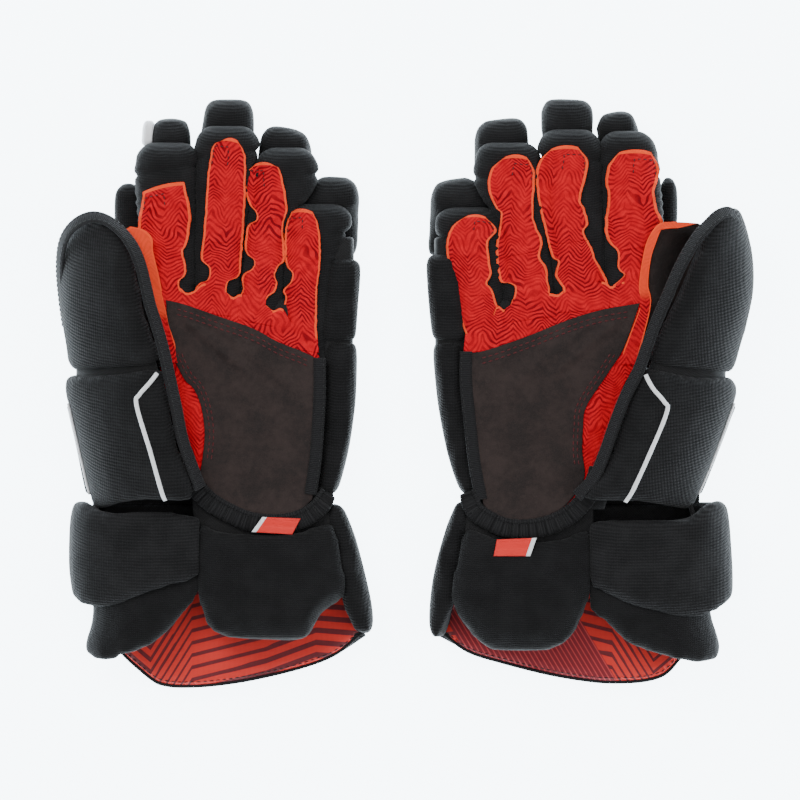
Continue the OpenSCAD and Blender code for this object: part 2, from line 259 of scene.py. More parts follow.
def pad(table, round0, round1, n=36, m=40, power=3.0, seams=(), seam_depth=1.0, square=1.0):
    """Rings of a padded roll. Table rows are (y, left x, right x, low z, high z).

    round0 and round1 are how far the first and last end are rounded, seams are y values of sewn grooves."""
    y0, y1 = table[0][0], table[-1][0]
    a = np.linspace(0.06, 1, 7, endpoint=False)
    ys = np.concatenate([y0 + round0 * (1 - np.cos(a * math.pi / 2)),
                         np.linspace(y0 + round0, y1 - round1, n),
                         y1 - round1 * (1 - np.cos(a[::-1] * math.pi / 2))])
    cs, sn = superellipse(m, power)
    rings = []
    for y in np.unique(np.round(ys, 4)):
        xl, xr, z0, z1 = at(table, y)
        shrink = 1.0
        if round0 and y < y0 + round0:
            shrink = min(shrink, math.sqrt(max(1 - ((y0 + round0 - y) / round0) ** 2, 0.0)))
        if round1 and y > y1 - round1:
            shrink = min(shrink, math.sqrt(max(1 - ((y - y1 + round1) / round1) ** 2, 0.0)))
        inset_x = min(round0 if y < (y0 + y1) / 2 else round1, (xr - xl) / 2 * 0.9)
        inset_z = min(inset_x, (z1 - z0) / 2 * 0.92)
        dip = sum(seam_depth * math.exp(-((y - seam) / 1.3) ** 2) for seam in seams)
        wide = (xr - xl) / 2 - inset_x * square * (1 - shrink) - dip
        high = (z1 - z0) / 2 - inset_z * (1 - shrink) - dip
        rings.append(np.stack([(xl + xr) / 2 + wide * cs, np.full(m, y), (z0 + z1) / 2 + high * sn], axis=1))
    return np.array(rings)


def outward(rings):
    """Directions from the middle of each ring to its points, within the ring's own plane."""
    out = rings - rings.mean(axis=1, keepdims=True)
    out[..., 1] = 0
    return out / (np.linalg.norm(out, axis=2, keepdims=True) + 1e-6)


def puffed(rings, size, amount, seed=0.0):
    """The rings with soft lumps pushed out from their middles."""
    x, y, z = rings[..., 0], rings[..., 1], rings[..., 2]
    return rings + outward(rings) * ripple(x + 0.6 * z, y + 0.4 * z, size, seed)[..., None] * amount


# ---------------------------------------------------------------- materials


class Shader:
    """A material under construction; values are sockets or numbers, places are in mm."""

    def __init__(self, name):
        self.material = bpy.data.materials.new(name)
        self.material.use_nodes = True
        self.nodes = self.material.node_tree.nodes
        self.links = self.material.node_tree.links
        self.surface = self.nodes["Principled BSDF"]
        place = self.node("ShaderNodeTexCoord").outputs["Object"]
        scale = self.node("ShaderNodeVectorMath", operation="SCALE")
        self.links.new(place, scale.inputs[0])
        scale.inputs["Scale"].default_value = 1 / MM
        self.mm = scale.outputs[0]
        parts = self.node("ShaderNodeSeparateXYZ")
        self.links.new(self.mm, parts.inputs[0])
        self.x, self.y, self.z = parts.outputs

    def node(self, kind, **properties):
        made = self.nodes.new(kind)
        for key, value in properties.items():
            setattr(made, key, value)
        return made

    def put(self, value, socket):
        if isinstance(value, (int, float)):
            socket.default_value = value
        elif isinstance(value, tuple):
            socket.default_value = (*value, 1)
        else:
            self.links.new(value, socket)

    def math(self, operation, a, b=0.0):
        made = self.node("ShaderNodeMath", operation=operation)
        self.put(a, made.inputs[0])
        self.put(b, made.inputs[1])
        return made.outputs[0]

    def add(self, a, b):
        return self.math("ADD", a, b)

    def times(self, a, b):
        return self.math("MULTIPLY", a, b)

    def sine(self, value, period):
        return self.math("SINE", self.times(value, math.tau / period))

    def noise(self, size, detail=2.0):
        made = self.node("ShaderNodeTexNoise")
        made.inputs["Scale"].default_value = 1 / size
        made.inputs["Detail"].default_value = detail
        self.links.new(self.mm, made.inputs["Vector"])
        return made.outputs["Fac"]

    def mix(self, factor, a, b):
        made = self.node("ShaderNodeMix", data_type="RGBA")
        self.put(factor, made.inputs["Factor"])
        self.put(a, made.inputs[6])
        self.put(b, made.inputs[7])
        return made.outputs[2]

    def ramp(self, value, low, high):
        made = self.node("ShaderNodeMapRange", interpolation_type="SMOOTHSTEP")
        self.put(value, made.inputs["Value"])
        made.inputs["From Min"].default_value = low
        made.inputs["From Max"].default_value = high
        return made.outputs["Result"]

    def attribute(self, name):
        return self.node("ShaderNodeAttribute", attribute_name=name).outputs["Fac"]

    def bump(self, height, millimetres, previous=None):
        made = self.node("ShaderNodeBump")
        made.inputs["Distance"].default_value = millimetres * MM
        made.inputs["Strength"].default_value = 1.0
        self.put(height, made.inputs["Height"])
        if previous:
            self.links.new(previous, made.inputs["Normal"])
        return made.outputs[0]

    def finish(self, colour, roughness, normal=None, sheen=0.0, sheen_roughness=0.5, specular=0.3):
        self.put(colour, self.surface.inputs["Base Color"])
        self.put(roughness, self.surface.inputs["Roughness"])
        self.surface.inputs["Sheen Weight"].default_value = sheen
        self.surface.inputs["Sheen Roughness"].default_value = sheen_roughness
        self.surface.inputs["Specular IOR Level"].default_value = specular
        if normal:
            self.links.new(normal, self.surface.inputs["Normal"])
        return self.material


def grey(level, blue):
    """Near-black colour of the given level, a little bluer."""
    return (level, level, blue)


def knit(name, row=1.5, wale=1.3, tone=1.0, depth=0.22):
    """Matte black knit with fine rows across the finger."""
    s = Shader(name)
    lean = s.add(s.y, s.times(s.z, 0.45))
    wander = s.times(s.noise(9, 2), 1.2)
    rows = s.sine(s.add(lean, wander), row)
    wales = s.sine(s.add(s.x, s.times(s.z, 0.3)), wale)
    stitch = s.add(s.times(rows, 0.6), s.times(wales, 0.25))
    mottled = s.ramp(s.noise(14, 3), 0.3, 0.75)
    colour = s.mix(s.ramp(s.add(s.times(stitch, 0.5), s.times(mottled, 0.6)), -0.4, 0.9),
                   grey(0.0028 * tone, 0.003 * tone), grey(0.0078 * tone, 0.0082 * tone))
    fuzz = s.noise(0.7, 2)
    normal = s.bump(s.add(stitch, s.times(fuzz, 0.8)), depth)
    normal = s.bump(s.noise(6, 2), 0.5, normal)
    roughness = s.add(0.72, s.times(fuzz, 0.2))
    return s.finish(colour, roughness, normal, sheen=0.035, sheen_roughness=0.6, specular=0.12)


def ribbed(name, pitch=1.1, tone=1.0):
    """Woven binding tape with ribs across its length, from the mesh's own length in mm."""
    s = Shader(name)
    ribs = s.math("SINE", s.times(s.attribute("length_mm"), math.tau / pitch))
    fibre = s.noise(0.5, 2)
    colour = s.mix(s.ramp(ribs, -0.9, 0.9), grey(0.006 * tone, 0.0065 * tone),
                   grey(0.013 * tone, 0.0138 * tone))
    normal = s.bump(s.add(ribs, s.times(fibre, 0.9)), 0.16)
    return s.finish(colour, s.add(0.6, s.times(fibre, 0.25)), normal, sheen=0.04, specular=0.16)


def red_suede(name):
    """Bright red suede printed with darker wavy lines; the attribute edge marks its orange cut rim."""
    s = Shader(name)
    warp = s.times(s.math("SUBTRACT", s.noise(26, 2), 0.5), 26)
    zigzag = s.times(s.math("PINGPONG", s.add(s.x, s.times(s.noise(30, 1), 14)), 9), 0.9)
    lines = s.sine(s.add(s.add(s.y, warp), zigzag), 2.9)
    fade = s.ramp(s.noise(17, 2), 0.36, 0.62)
    wear = s.ramp(s.noise(5, 3), 0.25, 0.8)
    bright = s.mix(wear, (0.40, 0.002, 0.008), (0.56, 0.006, 0.012))
    ink = s.times(s.ramp(lines, -0.2, 0.6), s.add(0.4, s.times(fade, 0.6)))
    printed = s.mix(ink, bright, (0.15, 0.0012, 0.005))
    rim = s.ramp(s.attribute("edge"), 0.3, 0.75)
    colour = s.mix(rim, printed, (0.74, 0.062, 0.016))
    nap = s.noise(0.45, 3)
    normal = s.bump(s.add(s.times(nap, 0.9), s.times(lines, 0.15)), 0.16)
    normal = s.bump(s.noise(3.2, 3), 0.45, normal)
    roughness = s.add(0.7, s.times(nap, 0.22))
    return s.finish(colour, roughness, normal, sheen=0.03, sheen_roughness=0.45, specular=0.09)


def brown_suede(name):
    """Dark brown palm suede, mottled where hands have rubbed it."""
    s = Shader(name)
    cloud = s.ramp(s.add(s.times(s.noise(16, 3), 0.65), s.times(s.noise(3.5, 3), 0.35)), 0.34, 0.68)
    nap = s.noise(0.55, 3)
    colour = s.mix(cloud, (0.0085, 0.0055, 0.005), (0.026, 0.018, 0.0165))
    colour = s.mix(s.times(s.ramp(nap, 0.35, 0.75), 0.35), colour, (0.04, 0.028, 0.025))
    normal = s.bump(nap, 0.16)
    normal = s.bump(s.noise(4.5, 3), 0.6, normal)
    return s.finish(colour, s.add(0.66, s.times(cloud, 0.2)), normal, sheen=0.07, specular=0.14)


def lining_print(name):
    """Glossy red lining printed with broad dark chevrons and a fine slanted mesh."""
    s = Shader(name)
    side = s.times(s.math("ABSOLUTE", s.x), -1.0)
    place = s.add(s.y, s.times(side, 0.85))
    for corner, turn in ((-152, -2.45), (-127, 1.35), (-82, -0.12), (-52, 0.45)):
        past = s.math("MAXIMUM", s.add(side, -corner), 0.0)
        place = s.add(place, s.times(past, turn))
    broad = s.sine(place, 7.4)
    thin = s.sine(s.add(place, 1.3), 3.7)
    region = s.ramp(s.noise(48, 0), 0.47, 0.5)
    mesh = s.times(s.sine(s.add(s.x, s.y), 1.5), s.sine(s.add(s.x, s.times(s.y, -1)), 1.5))
    mask = s.ramp(s.add(broad, s.times(s.times(thin, region), 0.9)), -0.28, -0.12)
    dark = s.mix(s.ramp(mesh, -0.2, 0.5), (0.085, 0.004, 0.008), (0.15, 0.007, 0.012))
    bright = s.mix(s.ramp(mesh, -0.6, 0.9), (0.50, 0.015, 0.010), (0.66, 0.03, 0.016))
    colour = s.mix(mask, dark, bright)
    # Zone of fine slanted lines, which only the right glove reaches
    slant = s.add(s.x, s.times(s.y, 0.6))
    fine = s.mix(s.ramp(s.sine(slant, 3.0), 0.5, 0.85), (0.17, 0.005, 0.012), (0.44, 0.035, 0.035))
    colour = s.mix(s.times(s.ramp(slant, -56, -55), s.ramp(s.times(slant, -1), -26, -25)), colour, fine)
    normal = s.bump(mesh, 0.1)
    normal = s.bump(s.noise(18, 2), 1.2, normal)
    return s.finish(colour, s.add(0.42, s.times(s.noise(4, 2), 0.2)), normal, sheen=0.05)


def plain_cloth(name, colour, lighter, roughness=0.6, weave=0.7):
    """Small woven trim such as piping, thread and tags."""
    s = Shader(name)
    threads = s.times(s.sine(s.x, weave), s.sine(s.add(s.y, s.z), weave))
    tone = s.mix(s.ramp(s.add(threads, s.noise(5, 2)), -0.3, 1.3), colour, lighter)
    return s.finish(tone, s.add(roughness, s.times(s.noise(1.2, 2), 0.15)), s.bump(threads, 0.08), sheen=0.05)


# Each material with the slot of the CAD record that it stands for
MATERIALS = {
    "knit": (knit("black_knit", tone=1.25, depth=0.16), "finger_knit"),
    "thumb_knit": (knit("thumb_knit", row=2.1, wale=1.6, tone=1.15, depth=0.34), "thumb_knit"),
    "cuff_knit": (knit("cuff_knit", row=1.8, wale=1.5, tone=1.1, depth=0.28), "cuff_knit"),
    "band_knit": (knit("band_knit", row=1.9, wale=1.6, tone=1.6, depth=0.3), "cuff_knit"),
    "flap_knit": (knit("flap_knit", row=1.3, wale=1.2, tone=1.0, depth=0.16), "flap_knit"),
    "tape": (ribbed("binding_tape"), "binding"),
    "elastic": (ribbed("wrist_elastic", pitch=1.6, tone=0.75), "binding"),
    "red": (red_suede("red_suede"), "palm_leather"),
    "brown": (brown_suede("brown_suede"), "patch_suede"),
    "print": (lining_print("lining_print"), "cuff_print"),
    "white": (plain_cloth("white_trim", (0.72, 0.73, 0.74), (0.82, 0.83, 0.84), 0.5), "thumb_knit"),
    "maroon": (plain_cloth("maroon_thread", (0.05, 0.004, 0.006), (0.10, 0.008, 0.01), 0.55), "patch_suede"),
    "black_thread": (plain_cloth("black_thread", grey(0.003, 0.003), grey(0.012, 0.013), 0.55), "hand_knit"),
    "tag": (plain_cloth("red_tag", (0.58, 0.018, 0.014), (0.70, 0.03, 0.02), 0.5), "binding"),
    "mesh": (plain_cloth("inner_mesh", grey(0.003, 0.003), grey(0.008, 0.0085), 0.8, 1.6), "hand_knit"),
}


# ---------------------------------------------------------------- pieces

# Padded pieces whose cloth is simulated, with the most their surface may move in mm
STUFFED = []
# Trims sewn on those pads, as (piece, name of the pad)
SEWN_ON = []
# Small stitches along the binding tapes, in mm
TAPE_STITCH = {"radius": 0.3, "length": 2.2, "gap": 1.0}
# Cloth simulation: size of a mesh cell in mm, frames, and how far above a pad its trims are looked for in mm
CLOTH_CELL, CLOTH_FRAMES, TRIM_REACH = 4.2, 20, 12


def evaluated(piece):
    mesh = bpy.data.meshes.new_from_object(piece.evaluated_get(bpy.context.evaluated_depsgraph_get()))
    mesh.shade_smooth()
    return mesh


def apply_modifiers(piece):
    mesh = evaluated(piece)
    piece.modifiers.clear()
    piece.data = mesh


def points_of(mesh):
    points = np.empty(len(mesh.vertices) * 3)
    mesh.vertices.foreach_get("co", points)
    return points.reshape(-1, 3)


def tree_of(name):
    mesh = bpy.data.objects[name].data
    return BVHTree.FromPolygons([v.co for v in mesh.vertices], [tuple(p.vertices) for p in mesh.polygons])


def add_cloth(piece):
    even = piece.modifiers.new("even", "REMESH")
    even.mode = "VOXEL"
    even.voxel_size = CLOTH_CELL * MM
    apply_modifiers(piece)
    cloth = piece.modifiers.new("cloth", "CLOTH")
    cloth.settings.quality = 5
    cloth.settings.mass = 0.15
    cloth.settings.tension_stiffness = 10
    cloth.settings.compression_stiffness = 6
    cloth.settings.shear_stiffness = 4
    cloth.settings.bending_stiffness = 0.4
    cloth.settings.use_pressure = True
    cloth.settings.uniform_pressure_force = 4
    cloth.settings.effector_weights.gravity = 0
    cloth.point_cache.frame_start = 1
    cloth.point_cache.frame_end = CLOTH_FRAMES


def settle(piece, limit, result):
    """Move the piece's points to where its cloth took them, by no more than the limit in mm."""
    start = points_of(piece.data)
    move = result - start
    length = np.linalg.norm(move, axis=1, keepdims=True)
    move *= np.minimum(1, limit * MM / np.maximum(length, 1e-9))
    piece.modifiers.clear()
    settled = start + move
    settled[:, 2] = np.maximum(settled[:, 2], FLOOR_GAP * MM)
    piece.data.vertices.foreach_set("co", settled.ravel())
    finer = piece.modifiers.new("finer", "SUBSURF")
    finer.levels = 1
    apply_modifiers(piece)


def stuff_all():
    """Blow each padded piece up a little inside its own cloth, and put the trims back on its surface."""
    before = {pad_name: tree_of(pad_name) for _, pad_name in SEWN_ON}
    for piece, _ in STUFFED:
        add_cloth(piece)
    for moment in range(1, CLOTH_FRAMES + 1):
        bpy.context.scene.frame_set(moment)
    results = [points_of(evaluated(piece)) for piece, _ in STUFFED]
    for (piece, limit), result in zip(STUFFED, results):
        settle(piece, limit, result)
    bpy.context.scene.frame_set(1)
    for piece, pad_name in SEWN_ON:
        after = tree_of(pad_name)
        for vertex in piece.data.vertices:
            foot, normal, _, _ = before[pad_name].find_nearest(vertex.co)
            place = after.ray_cast(foot + normal * TRIM_REACH * MM, -normal)[0]
            if place is not None:
                vertex.co += place - foot


class Glove:
    """One glove: makes its pieces in left-glove millimetres and mirrors them for the right hand.

    A piece rides one body; a piece given a blend (first body, second body, start, end) is left unattached, in
    place."""

    def __init__(self, side):
        self.side = side
        self.right = side == "right"

    def pick(self, pair):
        return pair[1] if self.right else pair[0]

    def make(self, name, shape, material, body=None, replaces=(), attributes=None, fill=None, blend=None,
             swell=0):
        verts, faces = shape
        verts = np.array(verts, float) * MM
        if self.right:
            verts[:, 0] *= -1
        mesh = bpy.data.meshes.new(f"{self.side}_{name}")
        mesh.from_pydata(verts.tolist(), [], faces)
        for key, values in (attributes or {}).items():
            layer = mesh.attributes.new(key, "FLOAT", "POINT")
            layer.data.foreach_set("value", np.asarray(values, np.float32))
        work = bmesh.new()
        work.from_mesh(mesh)
        bmesh.ops.recalc_face_normals(work, faces=work.faces)
        work.to_mesh(mesh)
        work.free()
        look, slot = MATERIALS[material]
        mesh.materials.append(look)
        mesh.shade_smooth()
        piece = bpy.data.objects.new(mesh.name, mesh)
        bpy.context.scene.collection.objects.link(piece)
        if blend:
            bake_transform(piece)
        else:
            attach(piece, f"{self.side}_{body}")
        if replaces:
            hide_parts(*[f"{self.side}_{node}" for node in replaces])
        if swell:
            STUFFED.append((piece, swell))
        return piece

    def roll(self, name, rings, lump, seed, material, body, replaces=(), height=0.35):
        """Foam roll with soft lumps of the given size and height."""
        self.make(name, loft(puffed(rings, lump, height, seed)), material, body, replaces, fill=ROLL_FILL,
                  swell=ROLL_SWELL)

    def cushion(self, name, shape, material, body, replaces=()):
        """Stuffed pad, softer than a roll."""
        self.make(name, shape, material, body, replaces, fill=PAD_FILL, swell=PAD_SWELL)

    def sheet(self, name, surface, thickness, material, body=None, replaces=(), marks=None, blend=None,
              rests_on=()):
        """Cloth or leather over a surface (rows, columns, 3)."""
        attributes = None if marks is None else {"edge": np.tile(marks.ravel(), 2)}
        piece = self.make(name, slab(surface, thickness), material, body, replaces, attributes, blend=blend)

    def tape(self, name, path, width, thickness, material, body=None, blend=None, up=(0, 0, 1), sides=10,
             replaces=(), power=2.6):
        """Band along a path, with its length stored for the ribs."""
        verts, faces = band(path, width, thickness, up, sides, power)
        run = run_of(path)
        length = np.concatenate([np.repeat(run, sides), [run[0], run[-1]]])
        return self.make(name, (verts, faces), material, body, replaces, {"length_mm": length}, blend=blend)

    def stitches(self, name, path, material, body=None, blend=None, length=2.6, gap=1.3, radius=0.42):
        """Row of raised threads along a path (n, 3)."""
        run = run_of(path)
        size = radius * np.array([1, 2, 2, 1])
        verts, faces = [], []
        start, count = 0.0, 0
        while start + length < run[-1]:
            ends = np.array([start, start + length / 3, start + 2 * length / 3, start + length])
            spine = np.stack([np.interp(ends, run, path[:, k]) for k in range(3)], axis=1)
            spine[[0, 3], 2] -= radius * 0.9
            v, f = band(spine, size, size, sides=6, power=2)
            verts.append(v)
            faces += [[count + i for i in face] for face in f]
            count += len(v)
            start += length + gap
        self.make(name, (np.vstack(verts), faces), material, body, blend=blend)


# ---------------------------------------------------------------- hand


def palm_height(x, y):
    """Top of the palm leather, with soft unevenness and the folds a hand has pressed in."""
    lift = 2.2 * np.exp(-(((x + 147) / 9) ** 2)) - 1.2 * np.exp(-(((x + 92) / 26) ** 2 + ((y + 8) / 40) ** 2))
    wrinkles = 0.38 * ripple(x, y, 17, 2.0) + 0.2 * ripple(x * 0.6, y * 1.5, 8, 5.0)
    pressed = folds(x, y, [(-130, 44, -92, 12, 1.5, 3.2), (-120, 46, -76, 15, 1.2, 3.0),
                           (-104, 30, -66, 4, 0.9, 3.4), (-116, -22, -62, -24, 0.8, 4.0),
                           (-96, -44, -60, -50, 0.6, 4.5)])
    return 44.2 + lift + wrinkles + pressed


def on_palm(points, lift):
    p = np.asarray(points, float)
    return np.concatenate([p, (palm_height(p[:, 0], p[:, 1]) + lift)[:, None]], axis=1)


PALM = {
    "left": {
        "top": [(-151, 60), (-141, 62), (-134, 63.5), (-130, 60.3), (-125, 61.5), (-119, 66), (-110, 64),
            (-105.5, 60.5), (-101.5, 57.6), (-97.5, 59.5), (-90, 58), (-82, 53), (-77.5, 49.6), (-72, 51),
            (-66, 42), (-58, 38), (-51, 35)],
        "holes": [(-134, -117), (-106, -96.5), (-82.5, -71.5)],
        "left": [(-151, 60), (-149, 35), (-145, 12), (-140, -8), (-134, -28), (-129, -48)],
        "right": [(-51, 35), (-53, 28), (-49, 19), (-48.5, 0), (-51, -45), (-56, -66)],
        "bottom": [(-129, -48), (-118, -60), (-102, -71), (-85, -75), (-66, -75), (-56, -66)],
        "patch_top": [(-142, 56), (-130, 53), (-110, 46), (-90, 39), (-75, 31), (-60, 25), (-48, 19)],
        "patch_left": [(-142, 56), (-140, 30), (-132, 10), (-125, 2), (-121, -8), (-119, -20), (-119, -30),
            (-121, -45), (-123, -52)],
        "patch_right": [(-48, 19), (-48.5, -10), (-51, -40), (-54, -64)],
        "patch_bottom": [(-123, -52), (-110, -65), (-95, -73), (-80, -76), (-65, -74), (-54, -64)],
        "tape": [(-49.5, 21), (-49.5, 0), (-50.5, -20), (-52, -40), (-55, -61)],
        "binding": [(-134, -42), (-127, -54), (-116, -66), (-100, -75), (-87, -79), (-73, -79.5),
            (-60, -76.5), (-50, -70), (-43, -61)],
        "tag": [(-90.5, -83.5), (-84, -74.5), (-61, -75.5), (-66, -85)],
    },
    "right": {
        "top": [(-148, 63), (-138, 66), (-131, 67), (-126, 64), (-121, 67), (-110, 65), (-98, 62),
            (-94, 59.3), (-89, 60), (-78, 61), (-68, 58), (-65, 52.5), (-61.5, 50), (-57.5, 52.5),
            (-54, 46), (-46, 40), (-38, 35)],
        "holes": [(-134, -120.5), (-98, -88.5), (-68.5, -55.5)],
        "left": [(-148, 63), (-146, 42), (-141, 20), (-131, 0), (-122, -22), (-114, -48)],
        "right": [(-38, 35), (-37, 20), (-39, -15), (-43, -45), (-50, -68)],
        "bottom": [(-114, -48), (-108, -60), (-97, -70), (-78, -78), (-62, -78), (-50, -68)],
        "patch_top": [(-143, 54), (-120, 50), (-100, 44), (-75, 34), (-50, 25.5), (-38, 24)],
        "patch_left": [(-143, 54), (-139, 42), (-133, 26), (-124, 12), (-111, -8), (-109, -20),
            (-108.5, -35), (-110, -48), (-108, -56)],
        "patch_right": [(-38, 24), (-38.5, 0), (-42, -30), (-49, -67)],
        "patch_bottom": [(-108, -56), (-98, -68), (-88, -74), (-70, -79), (-56, -76), (-49, -67)],
        "tape": [(-38.5, 25), (-38.5, 5), (-41, -20), (-43.5, -42), (-47.5, -64)],
        "binding": [(-119, -46), (-115, -58), (-105, -71), (-92, -79), (-77, -82.5), (-63, -82),
            (-52, -77.5), (-43, -71), (-38, -60)],
        "tag": [(-77, -98), (-81, -87), (-57, -88), (-55, -98)],
    },
}


def hand_body(g):
    """Fabric body of the hand, open at the wrist."""
    left, right = g.pick([(-150.5, -47), (-148, -38)])
    stations = [(-70, left + 26, right - 9, 21, 42.5), (-40, left + 12, right - 4, 20, 42.5),
                (0, left + 2, right, 20, 42.5), (40, left, right - 2, 20, 42.5),
                (59, left + 1, right - 24, 21, 42.5)]
    outer = pad(stations, 0, 6, n=30, m=48, power=5)
    centre = outer.mean(axis=1, keepdims=True)
    inner = centre + (outer - centre) * np.array([0.97, 1, 0.86])
    tiny = centre[-1:] + (outer[-1:] - centre[-1:]) * 0.1
    cup = np.concatenate([tiny, outer[::-1], inner, tiny + [0, -2, 0]])
    g.make("hand_body", loft(cup), "mesh", "hand", fill=FABRIC_FILL)


def palm(g, t):
    """Red leather, with its orange cut edge between the fingers."""
    rows, cols = rim_fractions(70, 0.011), rim_fractions(70, 0.012)
    plan = patch(t["top"], t["bottom"], t["left"], t["right"], rows, cols)
    height = palm_height(plan[..., 0], plan[..., 1])
    beside = sum(((plan[..., 0] > a) & (plan[..., 0] < b)).astype(float) for a, b in t["holes"])
    marks = rim_marks(rows, 0.012, last=False)[:, None] * beside
    g.sheet("palm", lifted(plan, height), LEATHER_T, "red", "hand", ["palm"], marks)


def palm_patch(g, t):
    """Brown suede overlay with its two rows of stitching."""
    plan = patch(t["patch_top"], t["patch_bottom"], t["patch_left"], t["patch_right"], fractions(84, 0.3),
                 fractions(84, 0.3))
    height = palm_height(plan[..., 0], plan[..., 1]) + 1.2
    rim = np.clip(edge_distance(lifted(plan, height)) / 2.0, 0, 1)
    height = height + 0.25 * np.sqrt(rim) - 0.35
    g.sheet("palm_patch", lifted(plan, height), SUEDE_T, "brown", "hand", ["palm_patch"], rests_on=["palm"])
    for k, inset in enumerate((4.0, 7.2)):
        top = curve(t["patch_top"], 90)[6:-7] + [0.0, -inset]
        side = curve(t["patch_left"], 90)
        tangent = unit(np.gradient(side, axis=0))
        side = side + np.stack([-tangent[:, 1], tangent[:, 0]], axis=1) * inset * 0.75
        g.stitches(f"patch_top_stitch_{k}", on_palm(top, 1.3), "maroon", "hand")
        g.stitches(f"patch_arch_stitch_{k}", on_palm(side[26 + k:82], 1.3), "maroon", "hand")


def side_tape(g, t):
    """Woven tape down the little finger's side."""
    path = on_palm(curve(t["tape"], 70), 1.4)
    g.tape("side_tape", path, 7.5, 2.4, "tape", "hand")
    g.stitches("side_tape_stitch", path + [2.4, 0, 1.1], "black_thread", "hand", **TAPE_STITCH)


def wrist_binding(g, t):
    """Puckered elastic binding round the wrist opening."""
    path = curve(t["binding"], 170)
    run = np.linspace(0, 210, len(path))
    pucker = 0.6 * np.sin(run * 1.3 + np.sin(run * 0.31) * 2.5) + 0.4 * np.sin(run * 0.62 + 1)
    end = np.minimum(1, np.minimum(run, run[-1] - run) / 12)
    z = 44.6 + 0.4 * pucker + 6.0 * np.exp(-run / 16)
    centre = np.concatenate([path, z[:, None]], axis=1)
    width = 9.8 + 0.5 * pucker - 2.5 * (1 - end)
    g.tape("wrist_binding", centre, width, 4.0 + 0.45 * pucker, "elastic", "hand", replaces=["wrist_binding"],
           sides=18, power=2.4)
    across = np.gradient(path, axis=0)
    across = unit(np.stack([-across[:, 1], across[:, 0]], axis=1))
    roll = np.concatenate([path + across * 5.2, (z + 0.7)[:, None]], axis=1)
    g.tape("wrist_binding_roll", roll, 3.0 + 0.3 * pucker, 2.8 + 0.3 * pucker, "tape", "hand", sides=12,
           power=2)


def tag(g, t):
    """Small folded tag, sewn to the binding on the left glove and to the flap on the right one."""
    thickness, edge_cols = 0.9, 4
    body = g.pick(["hand", "wrist_flap"])
    a, b, c, d = [np.array(p, float) for p in t["tag"]]
    u, v = np.meshgrid(np.linspace(0, 1, 26), np.linspace(0, 1, 14))
    plan = ((1 - v)[..., None] * ((1 - u)[..., None] * b + u[..., None] * c)
            + v[..., None] * ((1 - u)[..., None] * a + u[..., None] * d))
    height = g.pick([47.8, 51.2]) + 3.0 * step(v, 0.1, 0.7) + 0.15 * ripple(plan[..., 0], plan[..., 1], 9, 1)
    g.make("tag", slab(lifted(plan, height), thickness), "tag", body)
    edge = lifted(plan[:, :edge_cols], height[:, :edge_cols] + 0.16)
    g.make("tag_edge", slab(edge, thickness), "white", body)
    line = np.concatenate([plan[2], (height[2] + 0.1)[:, None]], axis=1)
    g.stitches("tag_stitch", line[3:-1], "tag", body, radius=0.22, length=1.6, gap=0.9)


def knuckle_rolls(g, s):
    spans = [[(21, -151, -127 + 2 * s), (61.5, -151, -128 + 2 * s)],
             [(21, -126 + 4 * s, -99 + 4 * s), (61.5, -124 + 4 * s, -98 + 4 * s)],
             [(21, -98 + 7 * s, -70 + 9 * s), (57.5, -96.5 + 5.5 * s, -74.5 + 9.5 * s)],
             [(-8, -68 + 9 * s, -49 + 9 * s), (33.5, -66 + 9 * s, -49 + 9 * s)]]
    for k, ((y0, a, b), (y1, c, d)) in enumerate(spans):
        y_mid = (y0 + y1) / 2
        rings = pad([(y0, a, b, 0.3, 22.5), (y_mid, (a + c) / 2 - 0.4, (b + d) / 2 + 0.4, 0, 22.5),
                     (y1, c, d, 0.3, 22.5)], 7, 7, power=3.2, seams=(y_mid,), seam_depth=1.6)
        g.roll(f"knuckle_roll_{k}", rings, 22, k, "knit", "hand", ["knuckle_rolls"] if k == 0 else [])


def back_rolls(g, s):
    """Two rows of wide rolls across the back of the hand, and the filler beside them."""
    count = 3
    for k, (y0, y1, x0, x1) in enumerate([(-19.5, 20.5, -151, -70 + 9 * s), (-60, -20, -151, -53 + 6 * s)]):
        edges = np.linspace(x0, x1, count + 1)
        for i in range(count):
            a, b = edges[i] + 0.3, edges[i + 1] - 0.3
            rings = pad([(y0, a, b, 0.3, 22.3), ((y0 + y1) / 2, a, b, 0, 22.3), (y1, a, b, 0.3, 22.3)], 7, 7,
                        power=3.4)
            g.roll(f"back_roll_{k}_{i}", rings, 24, i + 3 * k, "cuff_knit", "hand",
                   ["back_rolls"] if k + i == 0 else [])
    rings = pad([(-19, -70 + 9 * s, -51 + 8 * s, 0.3, 21.8), (-9.5, -70 + 9 * s, -50 + 8 * s, 0.3, 21.8)],
                4, 4, n=8)
    g.make("back_filler", loft(rings), "knit", "hand", fill=ROLL_FILL)


def back_fabric(g, s):
    """Fabric that joins the rolls."""
    corners = [(-148, 58), (-60 + 9 * s, 52), (-146, -62), (-56 + 6 * s, -62)]
    plan = patch(corners[:2], corners[2:], corners[::2], corners[1::2], fractions(24), fractions(24))
    g.sheet("back_fabric", lifted(plan, 12.5), 5, "mesh", "hand")


